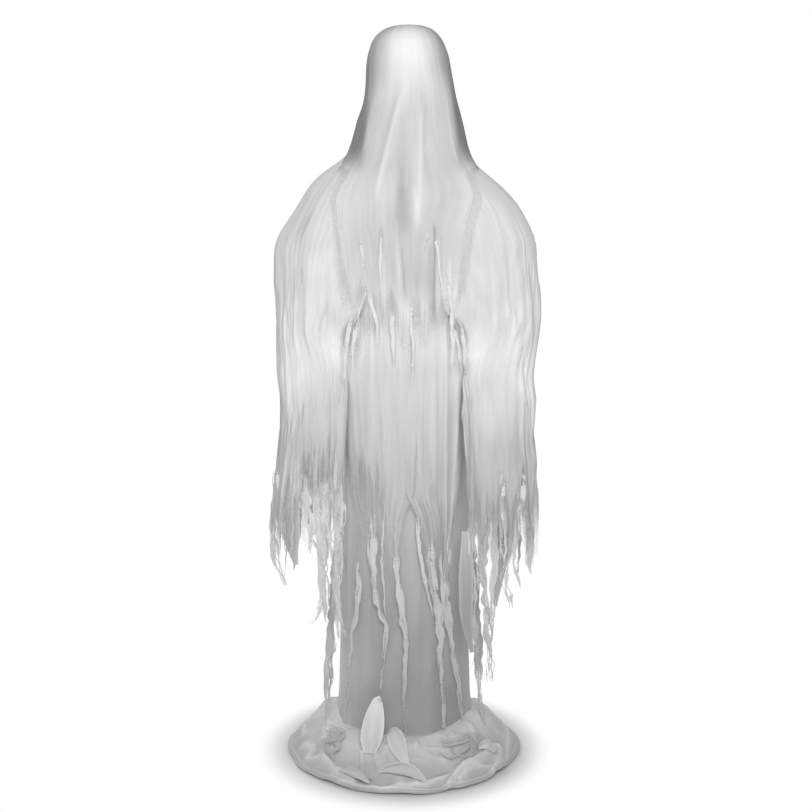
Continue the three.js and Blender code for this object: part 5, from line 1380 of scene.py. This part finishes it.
# %% Satin ends at the sleeves
left_lobe = leaf("left_satin_lobe", "left_arm",
                 [(-.262, -.190, .84), (-.270, -.186, .76), (-.276, -.180, .66), (-.270, -.176, .58),
                  (-.262, -.176, .537)], [.030, .046, .052, .046, .008], 0.25, material=gown_satin)
right_tab = leaf("right_satin_tab", "right_arm",
                 [(.196, -.205, .84), (.206, -.206, .77), (.216, -.200, .72), (.228, -.196, .69)],
                 [.020, .030, .030, .006], 0.3)
right_corner = leaf("right_satin_corner", "right_arm",
                    [(.236, -.180, .82), (.240, -.176, .68), (.232, -.174, .54), (.222, -.172, .43)],
                    [.060, .060, .040, .006], 0.15, material=gown_satin)
right_inner = leaf("right_inner_satin", "right_arm",
                   [(.150, -.176, .62), (.150, -.178, .50), (.152, -.178, .40), (.166, -.176, .315)],
                   [.020, .036, .032, .008], 0.15, material=gown_satin)
sleeve_leaves = [left_lobe, right_tab, right_corner, right_inner]
print("satin ends at the sleeves:", [piece.name for piece in sleeve_leaves])

# %% Satin ends on the floor
def on_floor(x, y, lift):
    """A place on the floor cloth, lifted a little, from the nearest point of its grid."""
    laid = floor_grid.reshape(-1, 3)
    return (x, y, float(laid[np.argmin(np.hypot(laid[:, 0] - x, laid[:, 1] - y)), 2]) + lift)


# One loop of the hem stands up in front of the gown. Its places are x, y and height
standing_loop = leaf("upright_floor_loop", "base",
                     [(-.085, -.204, .066), (-.082, -.192, .096), (-.077, -.182, .125),
                      (-.073, -.176, .150), (-.068, -.170, .178), (-.065, -.163, .188),
                      (-.063, -.154, .178)],
                     [.026, .050, .056, .054, .046, .030, .010], 0.24, facing=(0, -1, 0.1))
# The others lie on the floor cloth: places with x, y and lift, widths, bulge and which way they face
lying_ends = {
    "lying_floor_loop": (
        [(-.026, -.160, .022), (-.025, -.174, .022), (-.020, -.194, .014), (-.010, -.216, .008),
         (.001, -.236, .004), (.009, -.250, .002)],
        [.014, .040, .046, .038, .024, .006], 0.24, (-0.1, -0.8, 0.6)),
    "front_fold": (
        [(-.064, -.244, .004), (-.032, -.250, .006), (.006, -.258, .006), (.040, -.268, .004),
         (.052, -.274, .002)],
        [.008, .026, .040, .030, .006], 0.12, (0, -0.5, 0.85)),
    "corner_fold": (
        [(-.160, -.226, .003), (-.128, -.244, .006), (-.084, -.266, .003)],
        [.006, .028, .006], 0.16, (0, -0.4, 0.9)),
    "front_flap": (
        [(-.086, -.196, .006), (-.086, -.214, .005), (-.086, -.234, .004), (-.085, -.254, .003)],
        [.046, .048, .046, .044], 0.08, (0, -0.6, 0.8)),
    "side_fold": (
        [(.186, -.150, .004), (.206, -.148, .008), (.228, -.144, .004)],
        [.010, .030, .008], 0.16, (0.2, -0.6, 0.8)),
}
floor_leaves = [standing_loop]
for name, (line, widths, bulge, facing) in lying_ends.items():
    places = [on_floor(*place) for place in line]
    # The flap is part of the floor cloth and has its satin. The rest are the gown's hem
    flap = {"material": floor_satin, "darker": 0.08} if name == "front_flap" else {}
    floor_leaves.append(leaf(name, "base", places, widths, bulge, facing, **flap))
print("satin ends on the floor:", len(floor_leaves))

# %% [markdown]
# ## The hidden frame's materials
# The frame is seen only from below or through a tear, but it still gets what it is made of: moulded and
# blown plastics with their surface grain, plated and powder-coated steel, porous bronze, rubber and a
# laminate board with copper tracks. Patterns use object coordinates, and each grain is given in mm.

# %% Frame material helpers
broad_cells = 14.0


def grained(name, colour, second, roughness, grain_mm, depth_mm, metallic=0.0, coat=0.0, stretch=(1, 1, 1)):
    """A solid material with a fine grain: two close colours, a broken gloss and a low relief."""
    material, tree = new_material(name)
    place = put(tree, "TexCoord").outputs["Object"]
    # Object coordinates are metres, so 1000 / grain gives one cell for each grain
    scaled = put(tree, "Mapping", {"Vector": place, "Scale": tuple(1000 / grain_mm * s for s in stretch)})
    grain = put(tree, "TexNoise", {"Vector": scaled, "Scale": 1.0, "Detail": 3.0, "Roughness": 0.6})
    broad = put(tree, "TexNoise", {"Vector": place, "Scale": broad_cells, "Detail": 3.0})
    mixed = weighted_sum(tree, (grain, 0.45), (broad, 0.55))
    tone = put(tree, "ValToRGB", {"Fac": mixed}, stops=((0.3, second), (0.7, colour)))
    gloss = put(tree, "MapRange", {"Value": mixed, "From Min": 0.3, "From Max": 0.7,
                                   "To Min": roughness + 0.08, "To Max": roughness - 0.06})
    bump = put(tree, "Bump", {"Height": grain, "Strength": 0.5, "Distance": depth_mm / 1000})
    shader = put(tree, "BsdfPrincipled", {"Base Color": tone, "Roughness": gloss, "Normal": bump,
                                          "Metallic": metallic, "Coat Weight": coat})
    put(tree, "OutputMaterial", {"Surface": shader})
    return material


def track_board():
    """Green solder resist over copper tracks on glass laminate."""
    material, tree = new_material("solder_resist_laminate")
    place = put(tree, "TexCoord").outputs["Object"]
    # Tracks 16 mm apart lengthwise and 4 mm across show as lighter lines under the resist
    tracks = put(tree, "TexBrick", {"Vector": place, "Color1": linear("1c5a38"), "Color2": linear("20623e"),
                                    "Mortar": linear("3d8a55"), "Scale": 90.0, "Mortar Size": 0.06,
                                    "Brick Width": 1.4, "Row Height": 0.35}, offset=0.37)
    bump = put(tree, "Bump", {"Height": tracks.outputs["Fac"], "Strength": 0.4, "Distance": 0.0001})
    shader = put(tree, "BsdfPrincipled", {"Base Color": tracks, "Normal": bump, "Roughness": 0.35,
                                          "Coat Weight": 0.4})
    put(tree, "OutputMaterial", {"Surface": shader})
    return material


print("a grain of 0.8 mm is", 1000 / 0.8, "cells a metre")

# %% Frame materials
frame_materials = {
    # Injection-moulded ABS has a spark-eroded grain from the mould, about 0.8 mm
    "black_abs": grained("moulded_black_abs", "232324", "19191a", 0.48, 0.8, 0.05),
    "grey_abs": grained("moulded_grey_abs", "8f9193", "85878a", 0.5, 0.8, 0.05),
    # Blown polyethylene is waxy, with a long, soft orange peel
    "white_blown": grained("blown_white_polyethylene", "ecebe6", "e2e0da", 0.42, 6, 0.12),
    # Acetal gears are cut smooth and look slightly greasy
    "white_acetal": grained("machined_white_acetal", "efeeea", "e4e2dc", 0.33, 2, 0.02),
    # Zinc plating is drawn out along the height, as the steel below it was drawn
    "plated_steel": grained("zinc_plated_steel", "d3d5d8", "b9bcc2", 0.3, 1.5, 0.02, metallic=1.0,
                            stretch=(1, 1, 0.2)),
    # Powder coat flows into small round bumps about 1.5 mm apart
    "painted_tube": grained("black_powder_coat", "2b2b2d", "222224", 0.5, 1.5, 0.06),
    # Sintered bronze is pressed from powder and keeps open pores about 0.5 mm apart
    "sintered_bronze": grained("sintered_bronze", "b38e58", "8e6c3e", 0.42, 0.5, 0.06, metallic=1.0),
    # Moulded rubber is matt and nearly black
    "foot_rubber": grained("moulded_foot_rubber", "1b1b1b", "131313", 0.8, 0.9, 0.08),
    "circuit_board": track_board(),
    # The test button is moulded in a polished mould, so it is glossy
    "red_button": grained("glossy_red_abs", "b3261e", "9f1f18", 0.28, 1.0, 0.02, coat=0.3),
    "satin": gown_satin,
    "gauze": gauze,
}
dressed = 0
for row in frame["record"]["subparts"]:
    for slot in frame["nodes"][row["node"]].material_slots:
        slot.material = frame_materials[row["material_slot"]]
        dressed += 1
print("frame slots dressed:", dressed)

# %% [markdown]
# ## The test button's spring
# The real spring is a coil of steel wire under the button, which the button pushes together as it goes
# in by 2.5 mm. A CAD node keeps its form, so a copy with a mesh of its own stands for it on the base.

# %% Button spring
spring_node = frame["nodes"]["button_spring"]
coil = spring_node.data.copy()
coil.transform(spring_node.matrix_world)
pressed_spring = bpy.data.objects.new("coiled_button_spring", coil)
bpy.context.scene.collection.objects.link(pressed_spring)
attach(pressed_spring, "base")
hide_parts("button_spring")
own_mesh(pressed_spring)

# %% [markdown]
# ## Sheets, sizes and the end
# Every piece of cloth is listed with the size that it was cut to. A mesh whose area is far from the
# flat one would mean stretched cloth, so both areas are printed for each.

# %% Sheets
def cloth_area(piece):
    """The area of a piece's mesh in square metres."""
    return sum(face.area for face in piece.data.polygons)


# Each sheet, its cut size, its area if it isn't the whole rectangle, how and on what it is held, and
# the pieces that are cut from it or sewn to it
cut_sizes = [
    (gown, (1.08, 1.28), None, "hung", ["shoulder_yoke"], [*gown_panels, gown_strips, back_strips]),
    (floor_cloth, (0.80, 0.80), 0.42, "draped", ["base_housing"], floor_leaves),
    (bodice, (1.22, 0.51), None, "draped", ["shoulder_yoke"], [chest_strips]),
    (sleeves["left"], (0.64, 0.98), None, "draped", ["left_upper_arm"], [strip_sets["left"], left_lobe]),
    (sleeves["right"], (0.68, 0.98), None, "draped", ["right_upper_arm"],
     [strip_sets["right"], right_tab, right_corner, right_inner]),
    (hood, (0.90, 0.62), None, "draped", ["head_shell_front"], []),
]
for piece, flat, area, held, rests_on, with_pieces in cut_sizes:
    print(piece.name, "cloth", round(cloth_area(piece), 3), "flat", round(area or flat[0] * flat[1], 3))

# %% Finish
visual_box = [list(corner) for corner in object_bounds()]
for title, (low, high) in (("CAD", cad_box), ("visual", visual_box)):
    print(title, "size:", np.round(np.subtract(high, low), 3))
